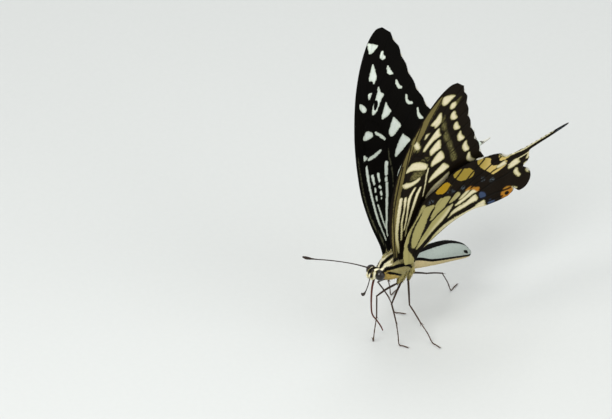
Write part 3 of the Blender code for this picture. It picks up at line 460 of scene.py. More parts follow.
def finish_piece(name, work, materials, nodes=()):
    """Turns a bmesh in the body frame into a piece of the model that rides on the root body."""
    bmesh.ops.remove_doubles(work, verts=work.verts, dist=1e-4)
    bmesh.ops.recalc_face_normals(work, faces=work.faces)
    mesh = bpy.data.meshes.new(name)
    work.to_mesh(mesh)
    work.free()
    mesh.transform(BODY)
    return place_piece(name, mesh, materials, nodes)


def place_piece(name, mesh, materials, nodes=()):
    """A finished mesh as a piece on the root body."""
    for material in materials:
        mesh.materials.append(material)
    mesh.shade_smooth()
    piece = bpy.data.objects.new(name, mesh)
    bpy.context.scene.collection.objects.link(piece)
    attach(piece, "root")
    if nodes:
        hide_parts(*nodes)
    return piece


def keep_marks(mesh, marks):
    """Keeps three numbers at each of a mesh's points, under each name."""
    for key, values in marks.items():
        kept = mesh.attributes.new(key, "FLOAT_VECTOR", "POINT").data
        kept.foreach_set("vector", np.asarray(values, np.float32).ravel())


def even_marks(count, *shares):
    """The same dark, pale and yellow shares at every point, away from the abdomen."""
    return {"marks": np.tile(shares, (count, 1)), "coat": np.zeros((count, 3))}


def mesh_points(mesh):
    """A mesh's points as an array."""
    points = np.zeros(len(mesh.vertices) * 3)
    mesh.vertices.foreach_get("co", points)
    return points.reshape(-1, 3)


# Materials

def add(tree, kind, inputs=None, **settings):
    """Adds one node with its settings, and links or sets its inputs."""
    made = tree.nodes.new(kind)
    for key, value in settings.items():
        setattr(made, key, value)
    for key, value in (inputs or {}).items():
        if isinstance(value, bpy.types.NodeSocket):
            tree.links.new(value, made.inputs[key])
        else:
            made.inputs[key].default_value = value
    return made


def blend(tree, share, first, second):
    """The colour that mixes two colours or sockets by a share."""
    colours = [value if isinstance(value, bpy.types.NodeSocket) else (*value, 1) for value in (first, second)]
    return add(tree, "ShaderNodeMix", {0: share, 6: colours[0], 7: colours[1]}, data_type="RGBA").outputs[2]


def step_at(tree, value, low, high):
    """A soft step from 0 to 1 as the value goes from low to high."""
    return add(tree, "ShaderNodeMapRange", {"Value": value, "From Min": low, "From Max": high},
               interpolation_type="SMOOTHSTEP").outputs[0]


def math_node(tree, operation, first, second):
    """One step of arithmetic on numbers or sockets."""
    return add(tree, "ShaderNodeMath", {0: first, 1: second}, operation=operation).outputs[0]


def times(tree, first, second):
    """The product of two numbers or sockets."""
    return math_node(tree, "MULTIPLY", first, second)


def plus(tree, first, second):
    """The sum of two numbers or sockets."""
    return math_node(tree, "ADD", first, second)


def less(tree, first, second):
    """The first number or socket less the second."""
    return math_node(tree, "SUBTRACT", first, second)


def noise(tree, place, scale, detail):
    """A cloudy pattern of numbers from 0 to 1."""
    return add(tree, "ShaderNodeTexNoise", {"Vector": place, "Scale": scale, "Detail": detail}).outputs["Fac"]


def channels(tree, name):
    """The three numbers that a mesh keeps at each point under a name."""
    kept = add(tree, "ShaderNodeAttribute", attribute_name=name).outputs["Vector"]
    return add(tree, "ShaderNodeSeparateXYZ", {0: kept}).outputs


def shader_of(name):
    """A new material's tree, its main shader and its object coordinates in metres."""
    made = bpy.data.materials.new(name)
    made.use_nodes = True
    tree = made.node_tree
    return made, tree, tree.nodes["Principled BSDF"], add(tree, "ShaderNodeTexCoord").outputs["Object"]


def bump(tree, shader, height, strength, distance):
    """Roughens a shader's surface by a height."""
    made = add(tree, "ShaderNodeBump", {"Height": height, "Strength": strength, "Distance": distance})
    tree.links.new(made.outputs[0], shader.inputs["Normal"])


def wing_scales(name, colours, upper):
    """Overlapping wing scales on a membrane: matt and powdery, their colours meeting in ragged edges."""
    made, tree, shader, place = shader_of(name)
    (cream, olive, dim), (yolk, orange, blue), (vein, rim, bay), (grey, root, hole) = (
        channels(tree, key) for key in MARK_SETS)
    # Real scales are about 0.1 mm wide and too fine for the picture, so these cells are 0.3 mm.
    cell = add(tree, "ShaderNodeTexVoronoi", {"Vector": place, "Scale": 3300.0}, feature="F1")
    grain = add(tree, "ShaderNodeSeparateColor", {0: cell.outputs["Color"]}).outputs[0]
    ragged = times(tree, less(tree, noise(tree, place, 2600.0, 2.0), 0.5), 0.5)
    cloud = noise(tree, place, 260.0, 3.0)

    def shape(value, soft=0.05, extra=None):
        """A marking's share of the colour, from how deep a point lies in it."""
        share = step_at(tree, plus(tree, value, ragged), -soft, soft)
        return share if extra is None else times(tree, share, extra)

    ground = blend(tree, cloud, colours["ground"], colours["ground_light"])
    dust = step_at(tree, grain, 0.35, 0.75)
    dusted = plus(tree, times(tree, dust, 0.5), 0.3)
    colour = blend(tree, shape(olive, 0.45, dusted), ground, colours["olive"])
    worn = times(tree, step_at(tree, cloud, -0.2, 0.6), 0.35 if upper else 0.95)
    colour = blend(tree, shape(dim, 0.15, worn), colour, colours["dim"])
    colour = blend(tree, shape(grey, 0.3, times(tree, dust, 0.5)), colour, colours["grey"])
    colour = blend(tree, shape(blue, 0.2, 0.75), colour, colours["blue"])
    yolk_tone = blend(tree, step_at(tree, root, 0.0, 0.45), colours["ochre_light"], colours["ochre"])
    yolk_tone = blend(tree, step_at(tree, root, 0.5, 0.9), yolk_tone, colours["yolk"])
    colour = blend(tree, shape(yolk, 0.08), colour, yolk_tone)
    halo = step_at(tree, plus(tree, cream, ragged), -0.25, -0.05)
    colour = blend(tree, times(tree, halo, 0.0 if upper else 0.55), colour, colours["olive"])
    pale = blend(tree, step_at(tree, cream, 0.0, 0.55), colours["cream_edge"], colours["cream"])
    pale = blend(tree, root, pale, colours["root_cream"])
    pale = blend(tree, times(tree, step_at(tree, grain, 0.2, 1.0), 0.16), pale, colours["speck"])
    spotted = shape(cream, 0.05 if upper else 0.11)
    colour = blend(tree, spotted, colour, pale)
    colour = blend(tree, shape(orange, 0.25), colour, blend(tree, cloud, colours["orange"], colours["ochre"]))
    colour = blend(tree, shape(hole, 0.06), colour, colours["ground"])
    bare = times(tree, spotted, 0.8)
    veined = step_at(tree, plus(tree, vein, times(tree, ragged, 0.4)), 0.24, 0.12)
    colour = blend(tree, times(tree, veined, less(tree, 0.92, bare)), colour, colours["vein"])
    edge = step_at(tree, rim, 0.22, 0.08)
    colour = blend(tree, times(tree, edge, less(tree, 0.85, bare)), colour, colours["vein"])
    white = times(tree, edge, step_at(tree, bay, 0.0, 0.4))
    colour = blend(tree, times(tree, white, 0.8), colour, colours["fringe"])
    tree.links.new(colour, shader.inputs["Base Color"])
    shader.inputs["Roughness"].default_value = 0.7
    shader.inputs["IOR"].default_value = 1.5
    shader.inputs["Specular IOR Level"].default_value = 0.04
    bump(tree, shader, cell.outputs["Distance"], 0.35, 0.00006)
    return made


def body_scales(name, colours, bristle):
    """Hair-like scales on the body: soft and matt, pale on the flanks with black bands; standing hair gets a
    painted highlight towards each tip.
    """
    made, tree, shader, place = shader_of(name)
    (dark, pale, yellow), (abdomen, below, along) = (channels(tree, key) for key in ("marks", "coat"))
    # Body scales drawn 0.2 mm long, about twice their size, so that their speckle shows.
    speck = noise(tree, place, 5200.0, 2.0)
    cloud = noise(tree, place, 700.0, 3.0)
    ragged = times(tree, less(tree, cloud, 0.5), 0.35)
    colour = blend(tree, cloud, colours["khaki"], colours["khaki_light"])
    colour = blend(tree, abdomen, colour, blend(tree, speck, colours["mint_grey"], colours["mint_light"]))
    colour = blend(tree, below, colour, colours["tan"])
    for share, low, key in ((yellow, 0.3, "yellow"), (pale, 0.35, "cream"), (dark, 0.35, "black")):
        colour = blend(tree, step_at(tree, plus(tree, share, ragged), low, 1 - low), colour, colours[key])
    # Painted highlight: standing hair is painted paler towards its tip, where light catches it, but not where
    # the hair is black.
    if bristle:
        lit = times(tree, along, less(tree, 0.25, times(tree, dark, 0.25)))
        colour = blend(tree, lit, colour, colours["tip"])
    tree.links.new(colour, shader.inputs["Base Color"])
    shader.inputs["Roughness"].default_value = 0.75
    shader.inputs["Specular IOR Level"].default_value = 0.08
    if not bristle:
        bump(tree, shader, speck, 0.5, 0.00005)
    return made


def cornea(colours):
    """The clear cornea of a compound eye over dark pigment: glossy, with rows of lenses like fine netting."""
    made, tree, shader, place = shader_of("compound eye cornea")
    # Lenses are about 0.03 mm across; drawn at 0.1 mm so that the netting shows.
    lens = add(tree, "ShaderNodeTexVoronoi", {"Vector": place, "Scale": 10000.0}, feature="F1")
    pigment = blend(tree, noise(tree, place, 600.0, 1.0), colours["eye"], colours["eye_light"])
    colour = blend(tree, step_at(tree, lens.outputs["Distance"], 0.25, 0.75), pigment, colours["black"])
    tree.links.new(colour, shader.inputs["Base Color"])
    shader.inputs["Roughness"].default_value = 0.22
    shader.inputs["IOR"].default_value = 1.56
    shader.inputs["Specular IOR Level"].default_value = 0.3
    shader.inputs["Coat Weight"].default_value = 0.15
    shader.inputs["Coat Roughness"].default_value = 0.12
    bump(tree, shader, lens.outputs["Distance"], 0.25, 0.00003)
    return made


def chitin(name, dark, light, roughness):
    """Hardened cuticle: a smooth dark brown shell, satin, paler and redder where it is thin."""
    made, tree, shader, place = shader_of(name)
    thin = add(tree, "ShaderNodeAttribute", attribute_name="thin").outputs["Fac"]
    share = times(tree, plus(tree, thin, noise(tree, place, 1500.0, 3.0)), 0.6)
    tree.links.new(blend(tree, share, dark, light), shader.inputs["Base Color"])
    shader.inputs["Roughness"].default_value = roughness
    shader.inputs["Specular IOR Level"].default_value = 0.3
    bump(tree, shader, noise(tree, place, 9000.0, 2.0), 0.4, 0.00002)
    return made


def stage_paper(name, colour):
    """Matt studio paper, rolled smooth: one pale tone with a grain just too fine to see."""
    made, tree, shader, place = shader_of(name)
    darker = tuple(value * 0.97 for value in colour)
    tree.links.new(blend(tree, noise(tree, place, 900.0, 2.0), darker, colour), shader.inputs["Base Color"])
    shader.inputs["Roughness"].default_value = 0.9
    return made


# Wings

def wing_places(back, out, side, layer, lift):
    """Body-frame places of points of a wing's plane, lift being their height off that plane."""
    sweep = WING_SWEEP * side
    turned_back = back * math.cos(sweep) - out * math.sin(sweep)
    turned_out = out * math.cos(sweep) + back * math.sin(sweep)
    away = layer + lift
    left = side * (HINGE_HALF_SPAN + turned_out * math.sin(WING_LEAN) + away * math.cos(WING_LEAN))
    up = turned_out * math.cos(WING_LEAN) - away * math.sin(WING_LEAN)
    return np.stack((-turned_back, left, up), axis=1)


def bow(out):
    """How far a wing bows off its plane, by how far out a point is."""
    return WING_BOW * np.sin(math.pi * np.clip(out / FOREWING_SPAN, 0, 1))


def set_wing(points, side, hind):
    """Takes flat wing points (back, out, lift) to the body frame."""
    back, out, lift = points.T
    if hind:
        held = HINDWING_HELD_BACK[side]
        back, out = back - HINDWING_FORWARD, out + HINDWING_LIFT
        back, out = back * math.cos(held) + out * math.sin(held), out * math.cos(held) - back * math.sin(held)
    return wing_places(back, out, side, HINDWING_OUT if hind else 0.0, lift + bow(out))


def nearest(points, path, widths=None):
    """Each point's distance to a run of straight pieces, less the half width there, and the nearest place."""
    best = np.full(len(points), np.inf)
    places = np.zeros((len(points), 2))
    for i in range(len(path) - 1):
        a, span = path[i], path[i + 1] - path[i]
        share = np.clip(((points - a) @ span) / max(span @ span, 1e-9), 0, 1)
        foot = a + share[:, None] * span
        away = np.linalg.norm(points - foot, axis=1)
        if widths is not None:
            away = away - (widths[i] + share * (widths[i + 1] - widths[i]))
        closer = away < best
        best[closer] = away[closer]
        places[closer] = foot[closer]
    return best, places


def inside(points, outline):
    """Whether each point is within a closed outline."""
    crossed = np.zeros(len(points), bool)
    for a, b in zip(outline, np.roll(outline, -1, axis=0)):
        if a[1] == b[1]:
            continue
        level = (a[1] > points[:, 1]) != (b[1] > points[:, 1])
        crossed ^= level & (points[:, 0] < a[0] + (b[0] - a[0]) * (points[:, 1] - a[1]) / (b[1] - a[1]))
    return crossed


def depth_in(points, outline):
    """How far each point lies inside a closed outline, negative outside it."""
    away, _ = nearest(points, np.vstack((outline, outline[:1])))
    return np.where(inside(points, outline), away, -away)


def near(points, path, reach=FAR):
    """Which points are within reach of a path's box."""
    return ((points > path.min(axis=0) - reach) & (points < path.max(axis=0) + reach)).all(axis=1)


def depth_in_spots(points, spots):
    """How deep each point lies in any of some closed markings."""
    found = np.full(len(points), -FAR)
    for spot in spots:
        path = smooth_path(spot, 0.25, closed=True)
        close = near(points, path)
        found[close] = np.maximum(found[close], depth_in(points[close], path))
    return found


def depth_in_streaks(points, streaks):
    """How deep each point lies in any of some streaks."""
    found = np.full(len(points), -FAR)
    for streak in streaks:
        path = smooth_path(streak, 0.6)
        close = near(points, path[:, :2])
        away, _ = nearest(points[close], path[:, :2], path[:, 2])
        found[close] = np.maximum(found[close], -away)
    return found


def scalloped(ends):
    """A wing's outer edge through its vein ends, cut in a little between them."""
    edge = [Vector(ends[0])]
    for a, b in zip(ends, ends[1:]):
        a, b = Vector(a), Vector(b)
        inward = Vector((-(b - a).y, (b - a).x)).normalized() * -SCALLOP
        edge += [a.lerp(b, 0.5) + inward, b]
    return edge


def fore_outline():
    """A forewing's outline."""
    return np.vstack((smooth_path(FORE_COSTA, 0.5), smooth_path(scalloped(FORE_MARGIN), 0.4),
                      smooth_path(FORE_INNER, 0.8)))


def tail():
    """The tail's two sides, from its front root round the tip to its rear root."""
    aim = Vector((math.cos(TAIL_AIM), math.sin(TAIL_AIM)))
    across = Vector((-aim.y, aim.x))
    start = (Vector(TAIL_ROOT[0]) + Vector(TAIL_ROOT[1])) / 2 + aim * 0.6
    count = len(TAIL_HALF_WIDTHS)
    upper, lower = [], []
    for i, half in enumerate(TAIL_HALF_WIDTHS):
        middle = start + aim * (TAIL_LENGTH * (i + 0.6) / count)
        upper.append(middle + across * half)
        lower.append(middle - across * half)
    return [Vector(TAIL_ROOT[0]), *upper, start + aim * TAIL_LENGTH, *reversed(lower), Vector(TAIL_ROOT[1])]


def hind_outline(side):
    """The left hindwing's outline with its tail and lobes, or the right one's with its worn edge."""
    whole = (smooth_path(tail(), 0.4), smooth_path(HIND_LOBES, 0.4))
    edge = whole if side > 0 else (smooth_path(WORN_EDGE, 0.3),)
    return np.vstack((smooth_path(HIND_COSTA, 0.5), *edge, smooth_path(HIND_INNER, 0.6)))


def flat_sheet(outline):
    """A closed thin sheet of square cells in a wing's outline: a grid, cut to it and given two faces."""
    low, high = outline.min(axis=0) - CELL, outline.max(axis=0) + CELL
    counts = np.ceil((high - low) / CELL).astype(int)
    work = bmesh.new()
    bmesh.ops.create_grid(work, x_segments=int(counts[0]), y_segments=int(counts[1]), size=1)
    bmesh.ops.scale(work, vec=(*(high - low) / 2, 1), verts=work.verts)
    bmesh.ops.translate(work, vec=(*(high + low) / 2, 0), verts=work.verts)
    centres = np.array([face.calc_center_median()[:2] for face in work.faces])
    kept = inside(centres, outline)
    bmesh.ops.delete(work, geom=[face for face, keep in zip(work.faces, kept) if not keep], context="FACES")
    rim = [vert for vert in work.verts if vert.is_boundary]
    _, places = nearest(np.array([vert.co[:2] for vert in rim]), np.vstack((outline, outline[:1])))
    for vert, place in zip(rim, places):
        vert.co[:2] = place
    bmesh.ops.solidify(work, geom=work.faces[:], thickness=1.0)
    bmesh.ops.recalc_face_normals(work, faces=work.faces)
    return work


def pattern(points, table, bays, outline, veins, vein_scale):
    """The markings of one face of a wing at each point, as four vectors of distances in millimetres."""
    names = ("olive", "yolk", "pale", "orange", "blue", "grey", "hole")
    found = {name: depth_in_spots(points, table.get(name, ())) for name in names}
    lines = depth_in_streaks(points, table.get("lines", ()))
    lines = np.where(lines > 0, lines + 0.3, lines)
    cream = np.maximum.reduce((depth_in_spots(points, table["cream"]), lines, found["pale"]))
    dim = depth_in_streaks(points, table.get("dim", ()))
    rim, _ = nearest(points, np.vstack((outline, outline[:1])))
    vein = np.full(len(points), FAR)
    for path in veins:
        path = smooth_path(path, 1.0)
        close = near(points, path, 1.0)
        vein[close] = np.minimum(vein[close], nearest(points[close], path)[0])
    bay = np.full(len(points), -FAR)
    for x, y, reach in table.get("bays", bays):
        bay = np.maximum(bay, reach - np.linalg.norm(points - (x, y), axis=1))
    root = np.clip(1 - points[:, 1] / table["root_reach"], 0, 1)
    if "front_tone" in table:
        # A hindwing's front cells are khaki up to a slanting line, and its border pales from front to back.
        line = 5.2 + (points[:, 1] - 2) * 0.62
        front = np.clip(0.5 + (line - points[:, 0]) / 2.2, 0, 1)
        border = np.interp(points[:, 0], (8.6, 9.4, 15.0, 17.5, 21.5), (1.0, 0.45, 0.4, 0.25, 0.0))
        root = np.where(points[:, 1] < 15.4, np.maximum(root, front) * table["front_tone"], border)
    return {"spots": (cream, found["olive"], dim), "tints": (found["yolk"], found["orange"], found["blue"]),
            "form": (vein * vein_scale, rim, bay), "glaze": (found["grey"], root, found["hole"])}


def wing(name, side, hind, outline, veins, bays, faces):
    """One wing, with its veins raised on both faces and the markings of each face kept as attributes."""
    sizes = bpy.context.scene.swallowtail_sizes
    vein_scale = 0.6 if hind else 1.0
    work = flat_sheet(outline)
    mesh = bpy.data.meshes.new(name)
    work.to_mesh(mesh)
    work.free()
    co = mesh_points(mesh)
    outer = co[:, 2] > co[:, 2].mean()
    kept = {key: np.zeros((len(co), 3), np.float32) for key in MARK_SETS}
    for mask, table in ((outer, faces[0]), (~outer, faces[1])):
        for key, values in pattern(co[mask, :2], table, bays, outline, veins, vein_scale).items():
            kept[key][mask] = np.stack(values, axis=1)
    vein, rim = kept["form"][:, 0] / vein_scale, kept["form"][:, 1]
    ridge = np.clip(1 - vein / sizes.vein_half_width, 0, 1)
    ridge = ridge * ridge * (3 - 2 * ridge)
    membrane = sizes.membrane_half * (0.4 + 0.6 * np.clip(rim / 0.8, 0, 1))
    half = membrane + sizes.vein_height * ridge * np.clip(rim / 0.6, 0, 1)
    pleat = 0.07 * np.sin(co[:, 0] * 1.1 + co[:, 1] * 0.35) * np.clip(rim / 3, 0, 1)
    co[:, 2] = np.where(outer, half, -half) + pleat
    mesh.vertices.foreach_set("co", to_world(set_wing(co, side, hind)).astype(np.float32).ravel())
    keep_marks(mesh, kept)
    indices = [0 if outer[polygon.vertices[0]] else 1 for polygon in mesh.polygons]
    materials = [under_material(), upper_material()]
    place_piece(name, mesh, materials, [name])
    mesh.polygons.foreach_set("material_index", indices)
    if side < 0:
        mesh.flip_normals()


# Fringes, tubes and tufts

def lock():
    """One tapering lock of hair or scale, a unit long and a unit in radius, its tip bent towards x."""
    work = bmesh.new()
    bmesh.ops.create_cone(work, cap_ends=True, segments=3, radius1=0.8, radius2=1.0, depth=0.5)
    bmesh.ops.translate(work, vec=(0, 0, 0.25), verts=work.verts)
    top = max(work.faces, key=lambda face: face.calc_center_median().z)
    made = bmesh.ops.extrude_discrete_faces(work, faces=[top])["faces"]
    tip = list(made[0].verts)
    bmesh.ops.pointmerge(work, verts=tip, merge_co=(0.22, 0, 1.0))
    bmesh.ops.triangulate(work, faces=work.faces)
    bmesh.ops.recalc_face_normals(work, faces=work.faces)
    work.verts.ensure_lookup_table()
    points = np.array([vert.co[:] for vert in work.verts])
    faces = np.array([[vert.index for vert in face.verts] for face in work.faces])
    work.free()
    return points, faces


def strew(name, roots, normals, lies, lengths, widths, materials, marks, flat=1.0):
    """Copies of one lock, each at its root, leaning from its normal to its lie."""
    template, faces = lock()
    count = len(roots)
    axis = lies / np.linalg.norm(lies, axis=1, keepdims=True)
    side = np.cross(normals, axis)
    side /= np.maximum(np.linalg.norm(side, axis=1, keepdims=True), 1e-9)
    bend = np.cross(axis, side)
    bent = template[None, :, 0] * np.where(template[:, 2] > 0.9, lengths[:, None], widths[:, None] * flat)
    points = (roots[:, None, :] + axis[:, None, :] * (template[None, :, 2] * lengths[:, None])[..., None]
              - bend[:, None, :] * bent[..., None]
              + side[:, None, :] * (template[None, :, 1] * widths[:, None])[..., None])
    mesh = bpy.data.meshes.new(name)
    every = (faces[None] + (np.arange(count) * len(template))[:, None, None]).reshape(-1, 3)
    mesh.from_pydata(to_world(points.reshape(-1, 3)), [], every)
    spread = {key: np.repeat(values, len(template), axis=0) for key, values in marks.items()}
    if "coat" in spread:
        spread["coat"][:, 2] = np.tile(template[:, 2], count)
    keep_marks(mesh, spread)
    baked = mesh.uv_layers.new(name="OFBake")
    turn = np.arctan2(roots[:, 1], roots[:, 2] + 2.2)
    unwrapped = np.stack((roots[:, 0] / 32 + 0.75, turn / 6.6 + 0.5), axis=1)
    corners = unwrapped[:, None, :] + template[None, :, :2] * 0.0015
    baked.data.foreach_set("uv", corners.reshape(-1, 2)[every.ravel()].astype(np.float32).ravel())
    return place_piece(name, mesh, materials)


def sweep(work, route, sides):
    """A tube with closed ends along a route of (x, y, z, radius): a grid bent round it and welded."""
    route = np.array(route, float)
    count = len(route)
    made = bmesh.ops.create_grid(work, x_segments=sides, y_segments=count - 1, size=1)["verts"]
    along = np.gradient(route[:, :3], axis=0)
    along /= np.linalg.norm(along, axis=1, keepdims=True)
    first = np.cross(along[0], (0.3, 0.2, 0.93))
    across = [first / np.linalg.norm(first)]
    for direction in along[1:]:
        turned = across[-1] - direction * (across[-1] @ direction)
        across.append(turned / np.linalg.norm(turned))
    for vert in made:
        row = round((vert.co.y + 1) / 2 * (count - 1))
        angle = (vert.co.x + 1) * math.pi
        other = np.cross(along[row], across[row])
        around = across[row] * math.cos(angle) + other * math.sin(angle)
        vert.co = route[row, :3] + around * route[row, 3]


def capped(route):
    """Adds a round end to both ends of a route of (x, y, z, radius)."""
    route = np.array(route, float)
    ends = []
    for end, inner in ((route[0], route[1]), (route[-1], route[-2])):
        out = (end[:3] - inner[:3]) / np.linalg.norm(end[:3] - inner[:3])
        ends.append([np.append(end[:3] + out * end[3] * reach, end[3] * share)
                     for reach, share in ((0.9, 0.0), (0.8, 0.45), (0.45, 0.82))])
    return np.vstack((ends[0], route, ends[1][::-1]))


def routed(points, radii, step):
    """A smooth route of (x, y, z, radius) through points with their radii."""
    return smooth_path([(*point, radius) for point, radius in zip(points, radii)], step)


def bead(work, centre, radii, subdivisions=3):
    """A ball or egg."""
    made = bmesh.ops.create_icosphere(work, subdivisions=subdivisions, radius=1)["verts"]
    bmesh.ops.scale(work, vec=radii, verts=made)
    bmesh.ops.translate(work, vec=centre, verts=made)


def paint_thin(piece, values):
    """Keeps, at each point, how thin and so how pale the cuticle is."""
    piece.data.attributes.new("thin", "FLOAT", "POINT").data.foreach_set("value", values.astype(np.float32))


def vertex_places(mesh):
    """A mesh's points in the body frame."""
    back = np.array(BODY.inverted())
    return mesh_points(mesh) @ back[:3, :3].T + back[:3, 3]


# Trunk

TRUNK_ROWS = smooth_path(TRUNK, 0.16)


def trunk_section(x):
    """Top, bottom and half width of the trunk at distances forward."""
    return [np.interp(x, TRUNK_ROWS[:, 0], TRUNK_ROWS[:, column]) for column in (1, 2, 3)]


def degree_length(top, bottom, half):
    """How many millimetres round the trunk one degree takes."""
    return (half + (top - bottom) / 2) / 2 * math.pi / 180


def trunk_mesh():
    """The trunk as one closed skin: a line spun round, then fitted to its oval stations and creased."""
    rows = TRUNK_ROWS
    work = bmesh.new()
    bmesh.ops.create_vert(work, co=(rows[0][0] - 0.04, 0, 0))
    work.verts.ensure_lookup_table()
    end = work.verts[0]
    for row in rows:
        end = bmesh.ops.extrude_vert_indiv(work, verts=[end])["verts"][0]
        end.co = (row[0], 0, 1)
    end = bmesh.ops.extrude_vert_indiv(work, verts=[end])["verts"][0]
    end.co = (rows[-1][0] + 0.06, 0, 0)
    bmesh.ops.spin(work, geom=[*work.verts, *work.edges], cent=(0, 0, 0), axis=(1, 0, 0), angle=2 * math.pi,
                   steps=72, use_merge=True)
    bmesh.ops.remove_doubles(work, verts=work.verts, dist=1e-4)
    for vert in work.verts:
        x = vert.co.x
        top, bottom, half = trunk_section(x)
        crease = 0.0
        if LAST_CREASE < x < WAIST:
            off_crease = (x - WAIST) % SEGMENT_LENGTH - SEGMENT_LENGTH / 2
            crease = CREASE_DEPTH * math.exp(-(off_crease / 0.16) ** 2)
        height = (top - bottom) / 2 - crease
        vert.co.y *= half - crease
        vert.co.z = (top + bottom) / 2 + vert.co.z * height
    return work


# Bands along the trunk: (distance forward, angle down from the middle of the back in degrees, half width).
DARK_BANDS = (
    ((6.5, 0, 0.5), (5.8, 0, 0.45), (4.4, 0, 0.34), (2.6, 0, 0.42), (0.0, 0, 0.55), (-3.0, 0, 0.7),
     (-6.0, 0, 0.75), (-12.0, 0, 0.95), (-18.0, 0, 0.8), (-22.0, 0, 0.6)),
    ((6.5, 60, 0.2), (6.5, 120, 0.2)),
    ((3.3, 56, 0.28), (1.8, 59, 0.36), (0.2, 64, 0.36), (-1.6, 71, 0.36), (-3.2, 88, 0.36),
     (-3.9, 106, 0.36)),
    ((2.9, 82, 0.2), (1.8, 92, 0.22), (0.6, 106, 0.22), (-0.5, 122, 0.24), (-1.4, 142, 0.28)),
    ((-1.7, 100, 0.1), (-2.1, 120, 0.16), (-2.4, 145, 0.26)),
    ((-4.4, 46, 0.34), (-5.4, 54, 0.3), (-6.5, 64, 0.3), (-9.0, 88, 0.3), (-12.0, 98, 0.3), (-15.0, 105, 0.3),
     (-18.0, 108, 0.28), (-21.4, 108, 0.22)),
    ((-7.5, 150, 0.08), (-9.0, 152, 0.1), (-12.0, 150, 0.1), (-16.0, 148, 0.08), (-19.5, 150, 0.07)),
    ((-18.8, 74, 0.3), (-19.6, 76, 0.38)),
    ((-4.2, 140, 0.3), (-4.6, 160, 0.4), (-4.4, 180, 0.5)),
    ((5.5, 52, 0.14), (4.9, 44, 0.14), (4.1, 42, 0.16)),
)
PALE_BANDS = (
    ((5.7, 32, 0.2), (4.8, 32, 0.24), (4.0, 32, 0.3), (3.2, 30, 0.42), (1.8, 29, 0.5), (0.0, 28, 0.45),
     (-2.0, 29, 0.35)),
    ((5.9, 52, 0.24), (5.95, 90, 0.28), (5.75, 140, 0.26)),
)
YELLOW_BANDS = (
    ((4.6, 120, 0.8), (3.0, 118, 0.8), (1.4, 130, 0.8), (-0.4, 150, 0.7)),
    ((4.2, 70, 0.5), (3.4, 60, 0.3)),
)


def trunk_marks(points):
    """Dark, pale and yellow shares of points on the trunk, and the abdomen's side and underside."""
    x = points[:, 0]
    top, bottom, half = trunk_section(x)
    rise = (points[:, 2] - (top + bottom) / 2) / ((top - bottom) / 2)
    angle = np.degrees(np.arctan2(np.abs(points[:, 1]) / half, rise))
    places = np.stack((x, angle * degree_length(top, bottom, half)), axis=1)
    shares = []
    for bands in (DARK_BANDS, PALE_BANDS, YELLOW_BANDS):
        found = np.full(len(points), -1.0)
        for band in bands:
            path = smooth_path(band, 0.5)
            line = np.stack((path[:, 0], path[:, 1] * degree_length(*trunk_section(path[:, 0]))), axis=1)
            away, _ = nearest(places, line, path[:, 2])
            found = np.maximum(found, -away)
        shares.append(np.clip(0.5 + found / 0.3, 0, 1))
    abdomen = np.clip((WAIST - x) / 0.5, 0, 1)
    line = np.interp(-x, (4.4, 6.5, 9.0, 12.0, 15.0, 21.4), (50, 62, 88, 98, 105, 108))
    below = abdomen * np.clip((angle - line) / 6, 0, 1)
    return {"marks": np.stack(shares, axis=1), "coat": np.stack((abdomen, below, np.zeros(len(x))), axis=1)}


def wing_root_hair(rng):
    """Roots and lies of the long ochre hair where the wings join the thorax."""
    roots, normals, lies = [], [], []
    for side in (1, -1):
        count = WING_ROOT_LOCKS
        x = rng.uniform(-4.4, 1.9, count)
        spread = rng.uniform(0.5, 1.0, count)
        top, bottom, half = trunk_section(x)
        angle = spread * 0.95
        y, z = np.sin(angle), np.cos(angle)
        middle, height = (top + bottom) / 2, (top - bottom) / 2
        roots.append(np.stack((x, side * y * half * 0.98, middle + z * height * 0.98), axis=1))
        normals.append(np.stack((np.zeros(count), side * y, z), axis=1))
        backward, outward, upward = (rng.normal(mean, deviation, count)
                                     for mean, deviation in ((-0.55, 0.25), (0.3, 0.12), (0.75, 0.2)))
        lies.append(np.stack((backward, side * outward, upward), axis=1))
    return np.vstack(roots), np.vstack(normals), np.vstack(lies)


def coat_roots(mesh, rng, count, weigh):
    """Random roots on a mesh's faces with their normals, as dense as weigh says for each face's middle."""
    mesh.calc_loop_triangles()
    places = vertex_places(mesh)
    corners = np.zeros(len(mesh.loop_triangles) * 3, np.int32)
    mesh.loop_triangles.foreach_get("vertices", corners)
    corners = places[corners.reshape(-1, 3)]
    cross = np.cross(corners[:, 1] - corners[:, 0], corners[:, 2] - corners[:, 0])
    area = np.linalg.norm(cross, axis=1)
    share = area * weigh(corners.mean(axis=1))
    picked = rng.choice(len(area), count, p=share / share.sum())
    u, v = rng.random(count), rng.random(count)
    folded = u + v > 1
    u[folded], v[folded] = 1 - u[folded], 1 - v[folded]
    a, b, c = corners[picked].transpose(1, 0, 2)
    return a + (b - a) * u[:, None] + (c - a) * v[:, None], cross[picked] / area[picked][:, None]


def evenly(places):
    """The weight that spreads locks evenly over a mesh."""
    return np.ones(len(places))


def above_floor(forward, left, height):
    """The body-frame point over a place on the floor, at a height above it."""
    rise = math.sin(BODY_PITCH)
    return Vector((forward, left, (height - HINGE_HEIGHT - forward * rise) / math.cos(BODY_PITCH)))


